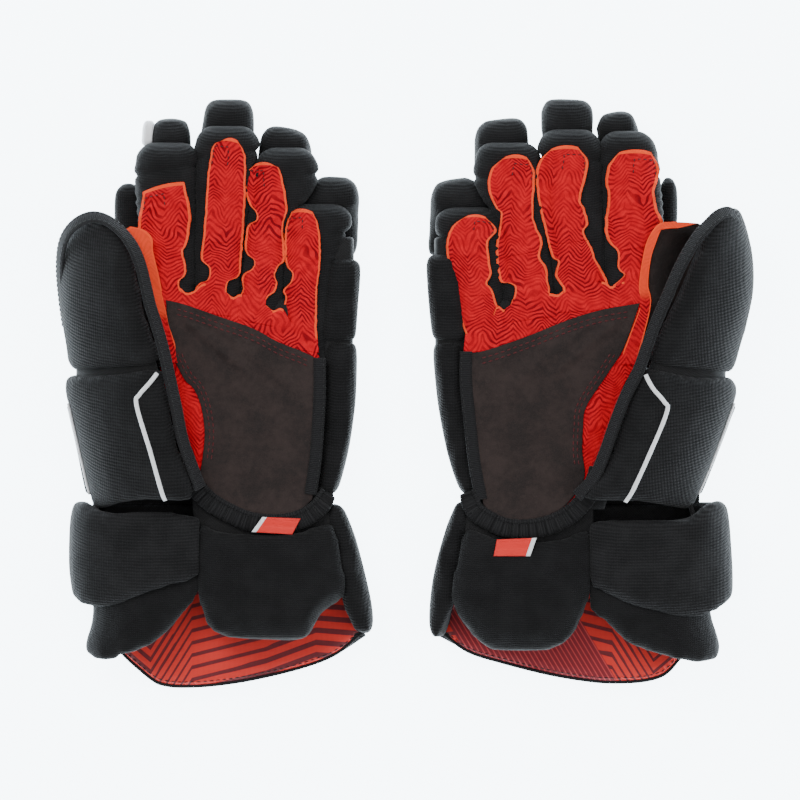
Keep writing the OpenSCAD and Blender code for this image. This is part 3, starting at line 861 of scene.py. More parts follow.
def side_rolls(g):
    """Rolls along the little finger's side, sewn end to end."""
    rows = g.pick([[(-62, -52, -39.5), (-48, -50, -36), (-33, -48.5, -33), (-15, -47.5, -30), (0, -47, -28.5),
                    (15, -47, -27.7), (30.7, -47, -27)],
                   [(-62, -46, -35.5), (-48, -44, -32), (-30, -42, -28), (-10, -40, -24), (5, -38.5, -21.5),
                    (15, -38, -20), (30.7, -38, -18.8)]])
    rings = pad([(y, a, b, 0.5, 43.2) for y, a, b in rows], 3.5, 3.5, n=60, m=48, power=3.6, seams=(-14.5,),
                seam_depth=0.8, square=0.6)
    g.make("side_rolls", loft(puffed(rings, 26, 0.4, 7)), "cuff_knit", "hand", ["side_rolls"], fill=ROLL_FILL,
           swell=PAD_SWELL)


def index_guard(g):
    """Guard beside the index finger."""
    x0, x1, y1 = g.pick([(-174, -153, 127.5), (-166.5, -152, 131)])
    rings = pad([(78, x0 + 5, x1, 3, 17), (100, x0, x1 - 0.5, 2, 20), (y1, x0, x1 - 4, 2, 20)], 4, 9, m=36)
    g.cushion("index_guard", loft(puffed(rings, 20, 0.3, 4)), "knit", "index_base")


def hand(g):
    t = PALM[g.side]
    wider = 1 if g.right else 0
    hand_body(g)
    palm(g, t)
    palm_patch(g, t)
    side_tape(g, t)
    wrist_binding(g, t)
    tag(g, t)
    knuckle_rolls(g, wider)
    back_rolls(g, wider)
    back_fabric(g, wider)
    side_rolls(g)
    index_guard(g)


# ---------------------------------------------------------------- fingers

# Sleeve, roll and cap rows are (y, outer x, inner x); strip edges are (x, y) points from the palm to the tip
FINGERS = {
    "left index": {
        "knuckle": 62, "bend": 113, "end": 151, "skew": 0.0, "crease": (131, 137),
        "sleeve": [(46, -152, -126), (58, -153, -124.9), (75, -155, -124.7), (95, -158, -124.6),
            (113, -160, -124.5), (131, -161, -124), (151, -159.5, -123.5)],
        "roll": [(62.5, -152, -125.2), (113, -156, -125.2)],
        "cap": [(113, -156, -125.2), (140, -156, -125.4), (150, -152, -127.3), (166, -151.5, -128)],
        "outer": [(-150, 50), (-150, 62), (-155, 85), (-159, 100), (-157, 112), (-156, 121)],
        "inner": [(-129, 48), (-130, 58), (-133.5, 62), (-134, 67), (-130.5, 71), (-130, 78), (-132, 85),
            (-129, 91), (-127, 108), (-131, 127)],
    },
    "left middle": {
        "knuckle": 62, "bend": 119, "end": 161, "skew": 0.0, "crease": (142, 146),
        "sleeve": [(46, -123, -99), (58, -124.2, -97.8), (90, -124.2, -95), (119, -124.2, -91),
            (150, -123.7, -87.5), (161, -123, -88)],
        "roll": [(62.5, -124.8, -97.4), (119, -124.8, -93.2)],
        "cap": [(119, -124.8, -93), (150, -124, -89.5), (160, -120, -89.5), (177.5, -120, -89.5)],
        "outer": [(-126, 48), (-126, 59), (-122, 66), (-117, 68), (-116, 75), (-121, 80), (-121, 85),
            (-119, 101), (-117, 130), (-114, 148), (-108, 152)],
        "inner": [(-103, 46), (-103, 56), (-105.5, 61), (-104.5, 67), (-98, 70.5), (-96.5, 80),
            (-94.5, 110), (-94, 130), (-94.5, 143), (-99, 152)],
    },
    "left ring": {
        "knuckle": 58, "bend": 110, "end": 148, "skew": -0.2, "crease": (126, 132),
        "sleeve": [(42, -97, -73), (58, -97.6, -71.5), (85, -95.2, -71.3), (100, -93.6, -69.5),
            (110, -92.5, -64), (118, -91.3, -57), (127, -90, -52), (148, -86, -53)],
        "roll": [(58.5, -97, -71.8), (110, -92.8, -71.6)],
        "cap": [(110, -92.6, -66), (118, -91.3, -58.5), (127, -90, -54), (150, -86, -54.5),
            (161, -83, -55.5)],
        "outer": [(-99, 44), (-98, 57), (-96, 62), (-96, 71), (-90, 75), (-89, 80), (-94.5, 85.5),
            (-93, 100), (-88, 104), (-88, 109), (-92.5, 115), (-95, 130), (-88, 138)],
        "inner": [(-78, 40), (-78, 49), (-82, 53), (-81, 57.5), (-76.5, 61), (-75, 66), (-76.5, 71),
            (-74, 76.5), (-70.5, 81), (-71.5, 100), (-69, 112), (-73, 133), (-77, 137)],
    },
    "left little": {
        "knuckle": 34, "bend": 82, "end": 114, "skew": -0.06, "crease": (94, 97),
        "sleeve": [(22, -70, -47), (34, -71.2, -45), (60, -71.2, -42), (82, -71, -39), (94, -70.8, -34),
            (105, -70, -30.5), (114, -68, -31)],
        "roll": [(34.5, -71.4, -29), (82, -71.2, -27.5)],
        "cap": [(82, -71, -26.5), (100, -69, -26), (110, -64, -25.5), (118, -58, -25.5), (131, -53, -26.5)],
        "outer": [(-76, 28), (-76, 48), (-72, 51), (-70, 57), (-71.5, 62), (-67, 67), (-66, 72),
            (-69.5, 77), (-70.5, 88), (-70, 100), (-66, 110)],
        "inner": [(-50, 24), (-51, 35), (-51, 60), (-49, 80), (-50, 100), (-54, 109)],
    },
    "right index": {
        "knuckle": 62, "bend": 113, "end": 158, "skew": -0.16, "crease": (131, 136),
        "sleeve": [(46, -153, -124), (62, -157, -122.6), (90, -158, -122), (113, -157, -121.2),
            (145, -154, -120.2), (158, -151, -120)],
        "roll": [(62.5, -153, -122.7), (113, -155, -121.3)],
        "cap": [(113, -155, -121.3), (140, -151, -120.5), (158, -143, -118), (171, -140.5, -117)],
        "outer": [(-147, 52), (-148, 70), (-150, 85), (-157, 101), (-154, 110), (-152, 121), (-155, 134),
            (-150, 145)],
        "inner": [(-125, 50), (-126, 63), (-130, 67), (-133.5, 71), (-130, 75), (-129.5, 85),
            (-124.5, 90.5), (-122, 100), (-124, 118), (-122.5, 126), (-124, 137), (-131, 145)],
    },
    "right middle": {
        "knuckle": 62, "bend": 119, "end": 159, "skew": 0.04, "crease": (140, 143),
        "sleeve": [(46, -121, -94), (60, -122.3, -92), (90, -121.7, -89.3), (119, -120.8, -86),
            (145, -119.8, -83.4), (159, -118, -84)],
        "roll": [(62.5, -122, -92), (119, -120.6, -86.3)],
        "cap": [(119, -120.6, -86.3), (145, -119.8, -83.8), (157, -116, -84), (177.5, -116, -84)],
        "outer": [(-125, 50), (-124.5, 64), (-121, 73), (-116.5, 80.5), (-115, 86), (-109.5, 97),
            (-112, 102), (-110, 111), (-107.5, 117), (-112, 138), (-106, 148)],
        "inner": [(-94, 48), (-97, 61), (-95, 66), (-92, 71), (-94, 79), (-90, 82.5), (-86, 98), (-83, 110),
            (-80.5, 130), (-83, 140), (-90, 147)],
    },
    "right ring": {
        "knuckle": 58, "bend": 110, "end": 151, "skew": -0.12, "crease": (125, 130),
        "sleeve": [(42, -90, -64), (58, -91.7, -61), (85, -89.1, -60.3), (95, -88, -59.5),
            (105, -86.8, -56.5), (112, -86, -52.5), (119, -85, -48), (127, -84, -44.5),
            (151, -82.5, -45.5)],
        "roll": [(58.5, -91.5, -61), (110, -86.2, -58.7)],
        "cap": [(110, -86, -54.5), (119, -85, -47.5), (127, -83.5, -43.8), (150, -77, -43.5),
            (166, -75.5, -44.5)],
        "outer": [(-93, 46), (-89.5, 59), (-88, 68), (-87, 76), (-83, 82), (-84.5, 92), (-80, 102),
            (-79, 112), (-80, 132), (-75, 142)],
        "inner": [(-61, 42), (-62, 50), (-66, 54), (-68, 63), (-64.5, 66), (-59, 67), (-57.5, 74),
            (-56.5, 86), (-58.5, 100), (-59.5, 108), (-56, 112), (-51.5, 124), (-54, 135), (-62, 142)],
    },
    "right little": {
        "knuckle": 34, "bend": 82, "end": 112, "skew": -0.12, "crease": (90, 93),
        "sleeve": [(22, -60, -38), (34, -60.9, -36), (60, -60.6, -33), (88, -60.8, -24), (105, -60, -20),
            (112, -57.5, -21)],
        "roll": [(34.5, -60.6, -19), (82, -60, -17)],
        "cap": [(82, -60, -15), (100, -59, -16), (112, -54, -17), (120, -49, -17.3), (130, -46, -18)],
        "outer": [(-61, 26), (-60.5, 48), (-57.5, 53), (-54.5, 62), (-51.5, 66), (-54, 72), (-53, 79),
            (-52, 91), (-57, 98), (-50, 106)],
        "inner": [(-37, 24), (-38, 35), (-33, 50), (-29, 72), (-26.5, 88), (-30, 100), (-38, 106)],
    },
}


def sleeve_top(f, x, y):
    """Height of a finger sleeve's palm side."""
    spans = np.array([at(f["sleeve"], v) for v in np.ravel(y)]).reshape(*np.shape(y), 2)
    middle, half = spans.mean(-1), (spans[..., 1] - spans[..., 0]) / 2
    end = np.clip((y - f["end"] + 10) / 10, 0, 0.97)
    narrower = 9 * (1 - np.sqrt(1 - end**2))
    u = np.clip(np.abs(x - middle) / (half - narrower), 0, 0.9)
    high = SLEEVE_HIGH - SLEEVE_MIDDLE - narrower
    return SLEEVE_MIDDLE + high * (1 - u**SLEEVE_POWER) ** (1 / SLEEVE_POWER)


def base_roll(g, f, base, number):
    """Foam roll on the back of the finger's first segment."""
    (y0, *start), (y1, *end) = f["roll"]
    middle = (f["knuckle"] + f["bend"]) / 2
    rings = pad([(y0 + 0.3, *start, 0.3, 22), (middle, *at(f["roll"], middle), 0, 22.3),
                 (y1 - 0.5, *end, 0.3, 22)], 6, 6, m=44, power=3.2, seams=(middle,), seam_depth=1.5)
    g.roll(f"{base}_roll", rings, 20, number, "knit", base, [f"{base}_roll"])


def tip_roll(g, f, tip, number):
    """Foam roll on the back of the fingertip, which stands up past the closed end of the sleeve."""
    (y0, *start), (y1, *end) = f["cap"][0], f["cap"][-1]
    rows = [(y0 + 0.5, *start, 0.3, 21.5)]
    for y in np.linspace(y0 + 6, y1, 6)[:-1]:
        rise = 12 * float(step(y, f["end"] - 12, f["end"] - 2))
        rows.append((y, *at(f["cap"], y), 0.2, 21.5 + rise))
    rows.append((y1, *end, 0.8, 32.5))
    rings = pad(rows, 6, 9, n=44, m=52, power=3.4, seams=(y0 + (f["end"] - y0) * 0.52, f["end"] - 4),
                seam_depth=1.3, square=0.75)
    x, y = rings[..., 0], rings[..., 1]
    rings[..., 1] += f["skew"] * (x - x.mean()) * step(y, f["end"] - 10, y1 - 4)
    g.roll(f"{tip}_roll", rings, 18, number + 5, "knit", tip, [f"{tip}_roll"], 0.4)
    if tip == "index_tip" and not g.right:
        rings = pad([(149, -157.5, -149.5, 8, 29), (164.5, -156.5, -149, 8, 28)], 4, 5, n=20, power=3.4,
                    square=0.7)
        g.make("index_tip_panel", loft(rings), "white", tip, fill=ROLL_FILL)


def sleeve(g, f, name, number, bends):
    """Knitted sleeve, in two pieces that meet in the middle of the first segment."""
    overlap = 0.8
    rows = [(y, a - overlap * (name != "index"), b + overlap * (name != "little"), SLEEVE_LOW, SLEEVE_HIGH)
            for y, a, b in f["sleeve"]]
    rings = pad(rows, 2, 10, n=84, m=56, power=SLEEVE_POWER)
    x, y, z = rings[..., 0], rings[..., 1], rings[..., 2]
    bunch = 0.45 * ripple(x * 0.5 + z - SLEEVE_MIDDLE, y * 1.25, 13, number + 1.5)
    low, high = f["crease"]
    line = low + (high - low) * (x - x.min()) / np.ptp(x)
    bunch = bunch - 1.5 * np.exp(-((y - line) / 1.5) ** 2) + 0.8 * np.exp(-((y - line - 4.5) / 3.5) ** 2)
    for joint in (f["knuckle"], f["bend"]):
        bunch = bunch + 0.5 * np.sin((y - joint) * 1.15 + 0.08 * x) * np.exp(-((y - joint) / 9) ** 2)
    centre = rings.mean(axis=1, keepdims=True)
    side = np.abs(x - centre[..., 0])
    under_strip = step(z, 40, 43) * (1 - step(side / (x - centre[..., 0]).max(), 0.62, 0.8))
    strip_end = f["outer"][-1][1]
    bunch = bunch * (1 - 0.85 * under_strip * (1 - step(y, strip_end - 4, strip_end + 4)))
    rings = rings + outward(rings) * bunch[..., None]
    middle = (f["knuckle"] + f["bend"]) / 2
    cut = int(np.argmin(np.abs(rings[:, 0, 1] - middle)))
    lower, upper = rings[: cut + 3].copy(), rings[cut:]
    tucked = centre[cut + 1: cut + 3]
    lower[-2:] = tucked + (lower[-2:] - tucked) * np.array([0.97, 1, 0.96])
    for part, rings, blend in zip(("base", "tip"), (lower, upper), bends):
        piece = f"{name}_{part}_sleeve"
        g.make(piece, loft(rings), "knit", None, [piece], blend=blend, fill=SLEEVE_FILL)


def little_side(g, bends):
    """Thick pad beside the little finger, and the fabric under it at both joints."""
    table = g.pick([[(30.9, -50, -28), (45, -50, -27), (60, -48, -25.8), (81, -46, -25)],
                    [(30.9, -42, -18.5), (45, -40, -16.8), (60, -38, -15.5), (84, -34, -14.5)]])
    rings = pad([(y, a, b, 17, 43) for y, a, b in table], 3, 4, power=3.4, square=0.6)
    g.cushion("little_side_pad", loft(puffed(rings, 24, 0.4, 3)), "cuff_knit", "little_base")
    outer = g.pick([-29.5, -20])
    for k, ((y0, y1), blend) in enumerate(zip(((20, 44), (70, 94)), bends)):
        rings = pad([(y, outer - 20, outer + 0.5 * k, 8, 38) for y in (y0, y1)], 2, 2, n=24, power=4)
        g.make(f"little_side_fabric_{k}", loft(rings), "mesh", None, blend=blend, fill=FABRIC_FILL)


def strip(g, f, name, number, bends):
    """Red suede strip along the palm side, in two pieces like the sleeve under it."""
    rows = np.concatenate([np.linspace(0, 0.94, 90), 1 - np.array([0.045, 0.03, 0.02, 0.01, 0])])
    cols = rim_fractions(15, 0.055)
    left, right = along(f["outer"], rows), along(f["inner"], rows)
    for edge, seed in ((left, number), (right, number + 2)):
        edge[:, 0] += 0.35 * ripple(edge[:, 1], edge[:, 1] * 0.3, 5, seed)
    plan = between(left, right, cols)
    x, y = plan[..., 0], plan[..., 1]
    side = 2 * cols[None] - 1
    plan[..., 1] += (1 - side ** 2) * 1.5 * step(rows, 0.9, 1.0)[:, None]
    joined = step(y, f["knuckle"] - 8, f["knuckle"] + 6)
    height = (palm_height(x, y) + 0.3) * (1 - joined) + (sleeve_top(f, x, y) + 1.5) * joined
    height = height + 0.9 * np.abs(side) ** 6 * joined
    unevenness = 0.3 * ripple(x * 0.35, y, 6.5, number + 3) + 0.22 * ripple(x, y * 0.9, 10, number)
    height = height + joined * unevenness
    gathers = 0.45 * np.sin(y * 0.85 + 1.2 * np.sin(x * 0.2)) * np.exp(-((y - f["bend"]) / 13) ** 2)
    height = height + joined * gathers
    side_mark = rim_marks(cols, 0.056)[None, :] * step(y, f["knuckle"] - 4, f["knuckle"] + 1)
    marks = np.maximum(side_mark, (rows >= 0.975).astype(float)[:, None])
    grid = lifted(plan, height)
    cut = int(np.argmin(np.abs(y[:, 9] - (f["knuckle"] + f["bend"]) / 2)))
    tuck = [0, 0, 0.06]
    g.sheet(f"{name}_base_strip", grid[:cut + 2] - tuck, SUEDE_T, "red", marks=marks[:cut + 2],
            blend=bends[0])
    g.sheet(f"{name}_tip_strip", grid[cut:], SUEDE_T, "red", marks=marks[cut:], blend=bends[1])
    low, top = np.searchsorted(rows, 0.84), np.searchsorted(rows, 0.93)
    seam = np.concatenate([grid[low:top, 3], grid[top, 3:12], grid[low:top, 11][::-1]])
    g.stitches(f"{name}_tip_strip_stitch", along(seam, np.linspace(0, 1, 120)) + [0, 0, 0.45], "maroon",
               f"{name}_tip", length=2.0, gap=1.5, radius=0.36)


def finger(g, name, number):
    f = FINGERS[f"{g.side} {name}"]
    base, tip = f"{name}_base", f"{name}_tip"
    x_mid = (f["roll"][0][1] + f["roll"][0][2]) / 2
    bends = [(a, b, (x_mid, joint - BEND_REACH, HINGE_Z), (x_mid, joint + BEND_REACH, HINGE_Z))
             for a, b, joint in (("hand", base, f["knuckle"]), (base, tip, f["bend"]))]
    base_roll(g, f, base, number)
    tip_roll(g, f, tip, number)
    sleeve(g, f, name, number, bends)
    if name == "little":
        little_side(g, bends)
    strip(g, f, name, number, bends)


# ---------------------------------------------------------------- thumb

THUMB = {
    "left": {
        "joint": (12.3, 17.5),
        "tip_left": [(13, -200.5), (35, -202.5), (50, -204.3), (65, -205.2), (78, -204.8), (88, -202.5),
            (95, -198), (100, -192.5), (103, -188), (105, -184)],
        "tip_right": [(13, -139), (32, -144.5), (45, -148.5), (55, -151), (70, -154.3), (83, -157.5),
            (92, -162.5), (98, -167), (102, -171), (105, -176), (107, -181)],
        "base_left": [(-70, -187), (-50, -191), (-30, -195), (-10, -199.5), (3, -203), (12, -201.5)],
        "base_right": [(-70, -119), (-50, -122), (-30, -129), (-10, -133), (12, -138.5)],
        "tape": [(-202.5, 40, 25), (-204.6, 56, 31), (-205.8, 72, 39), (-205, 85, 46), (-202, 94.5, 51.5),
            (-196, 101.5, 55.5), (-187, 105.5, 58.5), (-178, 104, 60.5), (-169.5, 98, 63.5),
            (-162.5, 89.5, 66.3), (-157.5, 79, 67.8), (-154, 66, 68.3), (-151, 53, 68.5),
            (-147.5, 42, 68.5), (-143.5, 28, 68.5), (-140, 13, 68.5), (-135.5, -8, 68), (-131.5, -28, 67),
            (-125.5, -45, 65), (-121, -57, 62)],
        "stripe": [(-146.5, 12), (-152, 5), (-157, -1), (-158.5, -7), (-150, -36), (-142, -65)],
        "web": [(-163, 100), (-155, 98), (-150, 93), (-149.5, 85), (-146, 70), (-143, 55), (-139.5, 40),
            (-133, 18)],
        "web_thumb": [(-170, 96), (-163, 90), (-158, 82), (-155, 72), (-153, 62), (-150, 52), (-147, 40),
            (-142, 18)],
    },
    "right": {
        "joint": (11.0, 18.5),
        "tip_left": [(13, -198.5), (35, -203), (50, -207), (65, -209.5), (80, -208.5), (90, -206),
            (97, -203.5), (103, -201), (108, -198), (111, -195)],
        "tip_right": [(13, -142.5), (22, -145), (40, -152), (52, -157), (65, -163), (80, -170), (92, -177),
            (100, -183), (105, -186.5), (111, -192)],
        "base_left": [(-70, -175.5), (-50, -183), (-32, -190), (-16, -196), (0, -201.5), (12, -200)],
        "base_right": [(-70, -103), (-48, -114.5), (-35, -120), (-20, -124), (-5, -130), (12, -139)],
        "tape": [(-204.5, 45, 25), (-207.5, 62, 30), (-207, 78, 37), (-204.5, 91, 44), (-201.8, 101, 50),
            (-197.5, 108, 54), (-191, 107, 58), (-185, 102, 61), (-177.5, 94, 64), (-170, 82, 67),
            (-164, 70, 68.3), (-158.5, 57, 68.5), (-152.5, 43, 68.5), (-146.5, 27, 68.5),
            (-141.5, 13, 68.5), (-133.5, -3, 68), (-127, -20, 67.5), (-121.5, -36, 66), (-115, -51, 63),
            (-105, -62, 59)],
        "stripe": [(-146, 11), (-150, 3), (-156.5, -5), (-158, -11), (-147, -38), (-134, -66)],
        "web": [(-163, 103), (-154, 101.5), (-147.5, 92), (-144.5, 80), (-142.5, 65), (-143, 52),
            (-138, 38), (-130, 17)],
        "web_thumb": [(-178, 102), (-165, 99), (-157, 99.5), (-152.5, 90), (-149.5, 80), (-148, 65),
            (-149.5, 52), (-141, 17)],
    },
}
# Middle of the thumb's padding: fraction of its width, height
THUMB_ARCH = [(0.11, 21), (0.1, 27), (0.11, 33), (0.15, 40), (0.24, 47.5), (0.4, 54), (0.6, 59), (0.79, 62),
              (0.95, 63.3)]
# Thickness of the thumb's pads, and the height of their outer face above their middle
THUMB_PAD_T, THUMB_FACE = 13.5, 6.9


def thumb_grid(table_left, table_right, rows_at, joint, sign, drop=None):
    """Middle surface of a thumb pad; its end at the joint follows a slanted line.

    sign is 1 when the first row lies at the joint, -1 when the last one does, and 0 for a straight grid."""
    cols, slant_reach, drop_base = 44, 45, 45
    arch = curve(THUMB_ARCH, cols)
    slant = (joint[1] - joint[0]) * (arch[:, 0] ** 1.6) + joint[0] - 12.5
    at_joint = rows_at[0 if sign > 0 else -1]
    grid = np.zeros((len(rows_at), cols, 3))
    for i, y in enumerate(rows_at):
        left, right = at(table_left, y)[0], at(table_right, y)[0]
        near = abs(sign) * np.clip(1 - abs(y - at_joint) / slant_reach, 0, 1)
        grid[i, :, 0] = left + arch[:, 0] * (right - left)
        grid[i, :, 1] = y + slant * near
        grid[i, :, 2] = drop_base + (arch[:, 1] - drop_base) * drop(y) if drop else arch[:, 1]
    return grid


def thumb_top(t, x, y):
    """Height of the lower thumb pad's outer face."""
    left, right = at(t["base_left"], y)[0], at(t["base_right"], y)[0]
    arch = curve(THUMB_ARCH, 60)[8:]
    return float(np.interp((x - left) / (right - left), arch[:, 0], arch[:, 1])) + THUMB_FACE


def thumb_shells(g, t):
    """Padded upper and lower shell of the thumb."""
    top_y = t["tip_left"][-1][0]

    def tip_drop(y):
        return 1 - 0.62 * max(0.0, (y - 72) / (top_y - 72)) ** 2.2

    round_end = 12
    rows = np.concatenate([np.linspace(13.2, top_y - round_end, 46),
                           top_y - round_end * (1 - np.sin(np.linspace(0.12, 1, 12) * math.pi / 2))])
    grid = thumb_grid(t["tip_left"], t["tip_right"], rows, t["joint"], 1, tip_drop)
    x, y = grid[..., 0], grid[..., 1]
    relief = 0.35 * ripple(x, y, 30, 3) + 0.4 * np.exp(-((y - 30) / 12) ** 2) * ripple(x * 0.4, y, 12, 6)
    g.cushion("thumb_tip_shell", pillow(grid[::-1], THUMB_PAD_T, 6, 0.35, relief[::-1]), "thumb_knit",
              "thumb_tip", ["thumb_tip_roll"])
    rows = np.linspace(-70, 12, 52)
    grid = thumb_grid(t["base_left"], t["base_right"], rows, t["joint"], -1)
    inner_side = np.clip(np.linspace(0, 1, grid.shape[1])[None] - 0.5, 0, 1)
    grid[:, :, 1] += 10 * inner_side * np.clip(-rows[:, None] / 70, 0, 1)
    relief = 0.35 * ripple(grid[..., 0], grid[..., 1], 28, 8)
    g.cushion("thumb_base_shell", pillow(grid[::-1], THUMB_PAD_T, 6, 0.35, relief[::-1]), "thumb_knit",
              "thumb_base", ["thumb_base_roll"])


def thumb_bridge(g, t, bend):
    """Fabric that bridges the thumb's joint under the pads."""
    grid = thumb_grid(t["base_left"] + t["tip_left"][1:], t["base_right"] + t["tip_right"][1:],
                      np.linspace(-14, 40, 30), t["joint"], 0)
    middle = grid.mean(axis=(0, 1))
    grid[..., 0] = middle[0] + (grid[..., 0] - middle[0]) * 0.9
    grid[..., 2] -= 2.5
    g.make("thumb_bridge", pillow(grid[::-1], 5, 3, 0.5), "mesh", None, blend=bend, fill=FABRIC_FILL)


def thumb_tape(g, t, bend):
    """Binding tape round the tip and down the palm side, and its two rows of stitching."""
    path = curve(t["tape"], 240)
    outside = 1 - step(np.linspace(0, 1, len(path)), 0.16, 0.33)
    lean = np.stack([0.55 * step(path[:, 0], -195, -165) * (1 - outside) - 1.3 * outside,
                     0.5 * (1 - step(-path[:, 1], -100, -84)), np.full(len(path), 0.8)], axis=1)
    g.tape("thumb_tape", path, 8.2, 3.0, "tape", None, blend=bend, up=lean, sides=16)
    tangent = unit(np.gradient(path, axis=0))
    side = unit(np.cross(tangent, lean))
    lift = np.cross(side, tangent)
    for k, shift in enumerate((-2.9, 2.6)):
        g.stitches(f"thumb_tape_stitch_{k}", path + side * shift + lift * 1.35, "black_thread", blend=bend,
                   **TAPE_STITCH)


def thumb_trims(g, t):
    """White stripe across the lower pad, white piping on its outer side and the layer under the piping."""
    plan = curve(t["stripe"], 70)
    z = np.array([thumb_top(t, px, py) for px, py in plan])
    path = np.concatenate([plan, z[:, None]], axis=1)
    stripe = g.tape("thumb_stripe", path, 2.6, 1.0, "white", "thumb_base")
    outline = np.array([[at(t["base_left"], y)[0] - 0.2, y, 33.0 + 0.06 * y]
                        for y in np.linspace(-61, -6, 30)])
    path = outline + [0.2, 0, 3.5]
    piping = g.tape("thumb_piping", path, 1.5, 1.5, "white", "thumb_base", sides=8, power=2)
    SEWN_ON.extend([(stripe, f"{g.side}_thumb_base_shell"), (piping, f"{g.side}_thumb_base_shell")])
    layer = ([6, 0, -13], [2.2, 0, -7], [0.8, 0, 0], [1.2, 0, 3])
    grid = np.stack([outline + shift for shift in layer], axis=1)
    grid = np.stack([curve(row, 14) for row in grid])
    g.make("thumb_second_layer", pillow(grid[::-1], 5, 3, 0.4), "cuff_knit", "thumb_base", fill=SLEEVE_FILL)


def thumb_linings(g, t):
    """Suede inside the thumb: low under the hand, rising to the palm, and closed at the tip."""
    floor_z = 25.5
    rows, cols = fractions(30, 0.3), fractions(20, 0.3)
    inward = 10 * g.right
    corner = (-131 + inward, -60)
    plan = patch([(-184, 11), (-160, 11), (-146, 11)], [(-174, -62), (-150, -61), corner],
                 [(-184, 11), (-180, -25), (-174, -62)], [(-146, 11), (-139 + 0.4 * inward, -25), corner],
                 rows, cols)
    s = np.linspace(0, 1, len(cols))[None, :]
    height = floor_z + 26 * step(s, 0.55, 1.0) + 0.3 * ripple(plan[..., 0], plan[..., 1], 14, 1)
    g.sheet("thumb_base_lining", lifted(plan, height), LEATHER_T, "brown", "thumb_base",
            ["thumb_base_lining"])
    edge = t["web_thumb"]
    plan = patch([(-195, 92), (-184, 99), edge[0]], [(-184, 14.5), (-160, 14.5), (-146, 16)],
                 [(-195, 92), (-192, 55), (-184, 14.5)], [edge[0], *edge[2:], (-146, 16)], rows, cols)
    height = floor_z + g.pick([28, 22]) * step(s, 0.5, 1.0) + 0.3 * ripple(plan[..., 0], plan[..., 1], 14, 2)
    closed_end = 1 - step(rows, 0, 0.12)[:, None]
    height = height + (g.pick([54, 50]) - height) * closed_end
    g.sheet("thumb_tip_lining", lifted(plan, height), LEATHER_T, "brown", "thumb_tip", ["thumb_tip_lining"])


def thumb_webs(g, t):
    """Red web between the thumb and the palm, in an upper and a lower piece."""
    rows, cols = rim_fractions(46, 0.02), rim_fractions(12, 0.09)
    plan = between(along(t["web_thumb"], rows), along(t["web"], rows), cols)
    x, y = plan[..., 0], plan[..., 1]
    high = g.pick([57, 50])
    slope = (high - 46) * cols[None, :] ** 0.8 * step(-y, -104, -60)
    height = high - slope + 5.0 * g.right * step(-x, 150, 176) + 0.5 * ripple(x, y, 9, 4)
    marks = np.maximum.outer(rim_marks(rows, 0.021, last=False), rim_marks(cols, 0.1, first=g.right))
    marks = np.maximum(marks, 0.6 * step(y, *g.pick([(36, 50), (48, 62)])))
    height = height - 2 * (1 - step(y, 20, 32))
    g.sheet("thumb_web", lifted(plan, height), CLOTH_T, "red", "thumb_tip", [], marks)
    low_outer = np.array(g.pick([[(-143, 26), (-141, 12), (-136, -8), (-132, -28), (-127, -46)],
                                 [(-144, 26), (-141, 12), (-133, -4), (-126, -22), (-117, -46)]]), float)
    low_inner = low_outer + [[2, 0], [3.5, 0], [4, 0], [4, 0], [4, 1]]
    rows, cols = np.linspace(0, 1, 50), np.linspace(0, 1, 12)
    plan = between(along(low_outer, rows), along(low_inner, rows), cols)
    crest = 60 - g.pick([2.5, 9]) * step(plan[..., 1], 2, 24)
    height = crest - (crest - 45.4) * cols[None, :] ** 0.7 + 0.35 * ripple(plan[..., 0], plan[..., 1], 8, 2)
    g.sheet("thumb_web_lower", lifted(plan, height), CLOTH_T, "red", marks=np.zeros(plan[..., 0].shape),
            blend=("hand", "thumb_base", (-136, 0, 45.5), (-140, 0, 58)))


def thumb(g):
    t = THUMB[g.side]
    bend = ("thumb_base", "thumb_tip", (-170, 3, 23.5), (-170, 23, 23.5))
    thumb_shells(g, t)
    thumb_bridge(g, t, bend)
    thumb_tape(g, t, bend)
    thumb_trims(g, t)
    thumb_linings(g, t)
    thumb_webs(g, t)


# ---------------------------------------------------------------- cuff

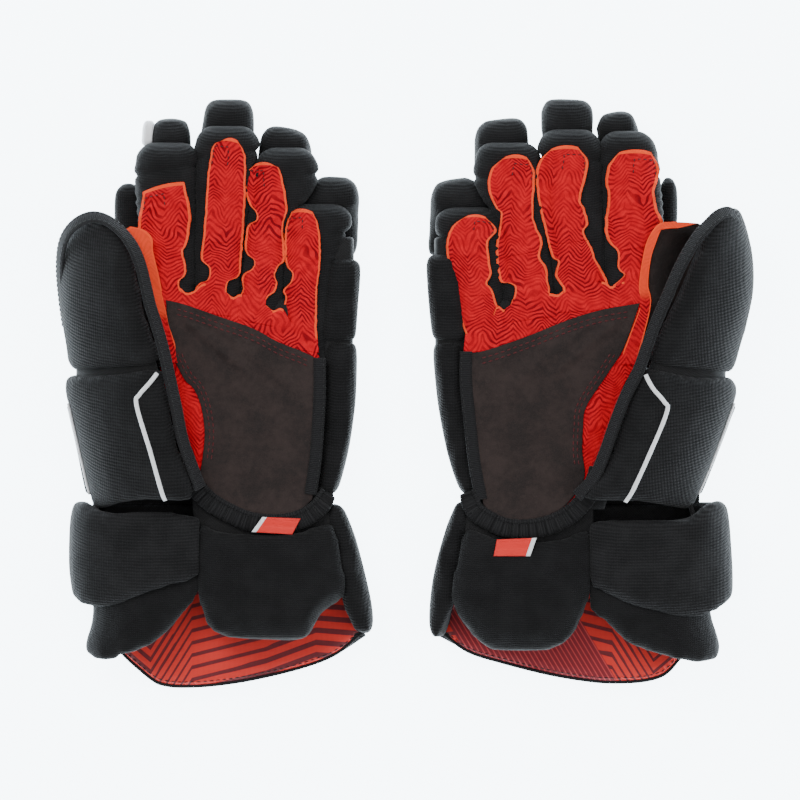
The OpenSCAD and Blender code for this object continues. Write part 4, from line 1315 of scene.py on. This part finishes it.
CUFF = {
    "left": {
        "floor_bottom": [(-187.5, -128), (-180, -146), (-168, -160), (-158, -169), (-151, -174.5),
            (-145, -177), (-135, -178.3), (-115, -177.5), (-90, -173.8), (-60, -166.5), (-40, -158.5),
            (-22, -147)],
        "side": [(-67, -48, -38), (-85, -44, -30.5), (-105, -40, -25.5), (-127, -37, -19.5),
            (-140, -33, -18), (-146, -28, -20)],
        "flap_top": [(-124, -79), (-100, -81.5), (-75, -82), (-40, -77)],
        "flap_left": [(-124, -79), (-125.5, -100), (-124.5, -115), (-121.5, -130), (-116, -142),
            (-109, -146.5)],
        "flap_right": [(-40, -77), (-35, -100), (-32.5, -115), (-34.5, -124), (-46, -134), (-53, -144),
            (-58, -149.5)],
        "flap_bottom": [(-109, -146.5), (-95, -149), (-80, -150.2), (-66, -150.8), (-58, -149.5)],
        "band_top": [(-198, -65), (-190, -65), (-175, -69.5), (-150, -70.5), (-118, -73)],
        "band_bottom": [(-196, -121), (-190, -128), (-180, -130), (-170, -128), (-150, -121), (-135, -115),
            (-119.5, -111)],
        "band_left": [(-198, -65), (-200, -78), (-199.5, -100), (-196, -121)],
        "band_right": [(-118, -73), (-118.5, -90), (-119.5, -111)],
        "low_top": [(-188, -118), (-170, -118), (-148, -112), (-118, -104)],
        "low_bottom": [(-189.5, -152), (-187, -159), (-178, -161.5), (-170, -159.5), (-148, -150.5),
            (-140, -143.5), (-130, -134.5), (-120.5, -120)],
        "low_left": [(-188, -118), (-186, -134), (-189, -146), (-189.5, -152)],
        "low_right": [(-118, -104), (-118.5, -112), (-120.5, -120)],
    },
    "right": {
        "floor_bottom": [(-187.5, -128), (-180, -149), (-169, -161), (-163, -168), (-157, -172),
            (-145, -175), (-130, -175.8), (-115, -175), (-90, -171), (-60, -163.5), (-40, -157),
            (-22, -148)],
        "side": [(-64, -43, -34.5), (-85, -39, -28), (-105, -35, -22.5), (-127, -32, -18.5),
            (-140, -28, -17.3), (-148, -25, -19)],
        "flap_top": [(-117, -82), (-95, -85), (-70, -86.5), (-35, -80)],
        "flap_left": [(-117, -82), (-117.5, -105), (-116, -119), (-110.5, -134), (-103, -147),
            (-95, -153.5)],
        "flap_right": [(-35, -80), (-31, -100), (-28, -117), (-28.5, -127), (-34, -138), (-42, -147),
            (-51, -155.5)],
        "flap_bottom": [(-95, -153.5), (-88, -156), (-75, -156.8), (-62, -156.5), (-51, -155.5)],
        "band_top": [(-196, -68), (-187, -64), (-170, -72), (-145, -74.5), (-108, -76)],
        "band_bottom": [(-198, -120), (-190, -130.5), (-178, -135), (-166, -135.5), (-150, -132.5),
            (-125, -126.5), (-108, -116)],
        "band_left": [(-196, -68), (-198, -80), (-198.5, -100), (-198, -120)],
        "band_right": [(-108, -76), (-108, -95), (-108, -116)],
        "low_top": [(-188, -124), (-170, -124), (-145, -121), (-109, -110)],
        "low_bottom": [(-189.5, -153), (-187, -161), (-177, -163.5), (-165, -161), (-148, -156),
            (-132, -149), (-120, -141), (-110, -127.5)],
        "low_left": [(-188, -124), (-187, -134), (-190, -146), (-189.5, -153)],
        "low_right": [(-109, -110), (-109, -118), (-110, -127.5)],
    },
}
# Middle of the padding: fraction of the width, height
BAND_ARCH = [(0.075, 8), (0.07, 18), (0.075, 28), (0.11, 37), (0.2, 42.5), (0.38, 45.8), (0.7, 48),
             (0.985, 48.5)]
LOW_ARCH = [(0.085, 17), (0.075, 25), (0.095, 33), (0.17, 39.5), (0.34, 43), (0.68, 44.7), (0.985, 45)]


def arched(t, name, arch, n, m):
    """Middle surface of a cuff pad with the given cross-section."""
    section = curve(arch, m)
    edges = [t[f"{name}_{edge}"] for edge in ("top", "bottom", "left", "right")]
    return lifted(patch(*edges, fractions(n, 0.3), section[:, 0]), section[:, 1])


def cuff_back(g, t):
    """Padded shell over the back of the wrist."""
    top = [(-187, -66), (-150, -66), (-90, -66), (-42, -66)]
    left, right = [(-187, -66), (-188.5, -100), (-187.5, -128)], [(-42, -66), (-34, -100), (-22, -147)]
    plan = patch(top, t["floor_bottom"], left, right, fractions(60, 0.4), fractions(72, 0.4))
    height = 7.2 + 0.25 * ripple(plan[..., 0], plan[..., 1], 40, 2)
    g.make("cuff_back", pillow(lifted(plan, height), 13.6, 7, 0.3), "cuff_knit", "cuff", ["cuff_back"],
           fill=PAD_FILL)


def cuff_lining(g, t):
    """Printed lining on the shell's inner face, its border and the plain fabric above it."""
    inset = ([(x + 1.2, y + 1.0) for x, y in t["floor_bottom"][:5]]
             + [(x, y + 1.4) for x, y in t["floor_bottom"][5:-1]] + [(-25, -145)])
    top = [(-181, -104), (-150, -104), (-90, -104), (-35, -104)]
    plan = patch(top, inset, [top[0], inset[0]], [top[-1], (-31, -125), inset[-1]], fractions(44, 0.4),
                 fractions(90, 0.4))
    inside = np.clip(edge_distance(lifted(plan, 0.0)) / 7, 0, 1)
    height = 12.1 + 2.9 * np.sqrt(1 - (1 - inside) ** 2) + 0.4 * ripple(plan[..., 0], plan[..., 1], 34, 5)
    g.sheet("cuff_lining", lifted(plan, height), 1.2, "print", "cuff", ["cuff_lining"],
            rests_on=["cuff_back"])
    edge = np.concatenate([plan[-3], (height[-3] + 0.15)[:, None]], axis=1)
    seam = along(edge, np.linspace(0.02, 0.98, 150))
    g.stitches("cuff_lining_stitch", seam, "black_thread", "cuff", radius=0.3)
    rim = np.concatenate([curve(inset, 150), np.full((150, 1), 11.6)], axis=1)
    g.tape("cuff_border", rim + [0, -0.4, 0], 2.2, 3.0, "tape", "cuff", sides=12)
    upper = patch([(-180, -68), (-50, -68)], [(-181, -107), (-36, -107)], [(-180, -68), (-181, -107)],
                  [(-50, -68), (-36, -107)], fractions(24, 0.3), fractions(50, 0.3))
    height = 15.6 + 0.4 * ripple(upper[..., 0], upper[..., 1], 20, 2)
    g.sheet("cuff_inner_fabric", lifted(upper, height), 1.4, "mesh", "cuff")


def cuff_side(g, t):
    """Padded wall on the little finger's side."""
    n = 44
    grid = np.array([[(b - 6.5, y, 9), (b - 4.8, y, 20), (b - 4.6, y, 31), ((a + b) / 2 + 1, y, 39.5),
                      (a + 1.5, y, 41.5)] for y, a, b in t["side"]], float)
    lines = [along(grid[:, k], fractions(n, 0.3)) for k in range(grid.shape[1])]
    grid = np.stack([curve(np.array([line[i] for line in lines]), 26) for i in range(n)])
    relief = 0.3 * ripple(grid[..., 1], grid[..., 2], 24, 6)
    g.cushion("cuff_side", pillow(grid, 9.0, 4.5, 0.35, relief), "cuff_knit", "cuff")


def wrist_flap(g, t):
    """Pad on the palm side of the wrist."""
    plan = patch(t["flap_top"], t["flap_bottom"], t["flap_left"], t["flap_right"], fractions(60, 0.35),
                 fractions(60, 0.35))
    height = 45.3 + 0.8 * np.sin(np.clip((plan[..., 0] + 120) / 80, 0, 1) * math.pi)
    relief = 0.4 * ripple(plan[..., 0], plan[..., 1], 36, 4)
    g.cushion("wrist_flap", pillow(lifted(plan, height), 10.5, 6, 0.3, relief), "flap_knit", "wrist_flap",
              ["wrist_flap"])


def thumb_cuff(g, t):
    """Band and lower flap round the thumb's side of the cuff."""
    grid = arched(t, "band", BAND_ARCH, 50, 60)
    relief = 0.35 * ripple(grid[..., 0], grid[..., 1], 30, 9)
    g.cushion("cuff_band", pillow(grid, 11.5, 6, 0.35, relief), "band_knit", "thumb_cuff", ["thumb_cuff"])
    grid = arched(t, "low", LOW_ARCH, 40, 50)
    relief = 0.35 * ripple(grid[..., 0], grid[..., 1], 26, 2)
    g.cushion("cuff_low_flap", pillow(grid, 9, 5, 0.35, relief), "flap_knit", "thumb_cuff")


def wrist_fabric(g):
    """Soft fabric between the hand and the cuff: on the palm side, beside the thumb and along the back."""
    top = g.pick([[(-128, -46), (-100, -62), (-75, -68), (-52, -58), (-41, -52)],
                  [(-114, -48), (-95, -65), (-70, -70), (-48, -62), (-38, -54)]])
    bottom = g.pick([[(-124, -90), (-100, -90), (-75, -90), (-55, -89), (-42, -84)],
                     [(-116, -94), (-95, -94), (-70, -94), (-50, -92), (-38, -86)]])
    plan = patch(top, bottom, [top[0], bottom[0]], [top[-1], bottom[-1]], fractions(30, 0), fractions(60, 0))
    height = 40.6 + 0.5 * ripple(plan[..., 0], plan[..., 1] * 1.6, 10, 3)
    blend = ("hand", "cuff", (-80, -58, 60), (-80, -82, 60))
    g.sheet("wrist_gusset", lifted(plan, height), CLOTH_T, "mesh", blend=blend)
    side = np.array([[(-183 + 10 * g.right + 3 * math.sin(k / 4), y, z) for z in np.linspace(9, 40, 16)]
                     for k, y in enumerate(np.linspace(-44, -84, 24))])
    half = [1.2, 0, 0]
    g.make("thumb_side_fabric", solid(side + half, side - half), "mesh", blend=blend)
    plan = patch([(-180, -50), (-60, -50)], [(-180, -76), (-60, -76)], [(-180, -50), (-180, -76)],
                 [(-60, -50), (-60, -76)], fractions(20, 0), fractions(40, 0))
    g.sheet("back_gusset", lifted(plan, 10.0), 4, "mesh",
            blend=("hand", "cuff", (-80, -56, 60), (-80, -70, 60)))


def cuff(g):
    t = CUFF[g.side]
    cuff_back(g, t)
    cuff_lining(g, t)
    cuff_side(g, t)
    wrist_flap(g, t)
    thumb_cuff(g, t)
    wrist_fabric(g)


# ---------------------------------------------------------------- whole object

for side_name in ("left", "right"):
    glove = Glove(side_name)
    hand(glove)
    for count, finger_name in enumerate(("index", "middle", "ring", "little")):
        finger(glove, finger_name, count + 4 * glove.right)
    thumb(glove)
    cuff(glove)

stuff_all()

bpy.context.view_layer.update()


# ---------------------------------------------------------------- floor, light and camera, in metres


def pale_floor(half):
    mesh = bpy.data.meshes.new("floor")
    corners = [(-half, -half, 0), (half, -half, 0), (half, half, 0), (-half, half, 0)]
    mesh.from_pydata(corners, [], [(0, 1, 2, 3)])
    made = bpy.data.objects.new("floor", mesh)
    bpy.context.scene.collection.objects.link(made)
    pale = Shader("pale_floor")
    pale.surface.inputs["Emission Color"].default_value = (0.82, 0.93, 1.0, 1)
    pale.surface.inputs["Emission Strength"].default_value = 8.0
    mesh.materials.append(pale.finish((0.86, 0.90, 0.95), 0.9, specular=0.1))
    return made


def area_light(name, place, size, power):
    """Round lamp aimed at the origin."""
    data = bpy.data.lights.new(name, "AREA")
    data.shape = "DISK"
    data.size = size
    data.energy = power
    lamp = bpy.data.objects.new(name, data)
    lamp.location = place
    lamp.rotation_euler = (-Vector(place)).to_track_quat("-Z", "Y").to_euler()
    bpy.context.scene.collection.objects.link(lamp)
    return lamp


def pale_world():
    world = bpy.data.worlds.new("pale_studio")
    world.use_nodes = True
    background = world.node_tree.nodes["Background"].inputs
    background["Color"].default_value = (0.93, 0.96, 1.0, 1)
    background["Strength"].default_value = 0.75
    bpy.context.scene.world = world


def high_camera(place, lens):
    """Long lens that looks straight down."""
    data = bpy.data.cameras.new("camera")
    data.lens = lens
    data.clip_end = 20
    made = bpy.data.objects.new("camera", data)
    made.location = place
    bpy.context.scene.collection.objects.link(made)
    bpy.context.scene.camera = made
    return made


floor = pale_floor(4)
lights = [
    area_light("key", (-0.7, 0.9, 1.7), 0.9, 22),
    area_light("fill", (0.9, -0.3, 1.4), 1.2, 10),
    area_light("top", (0, 0.1, 2.2), 1.6, 14),
]
pale_world()
camera = high_camera((-0.0012, -0.0042, 6.02), 447)
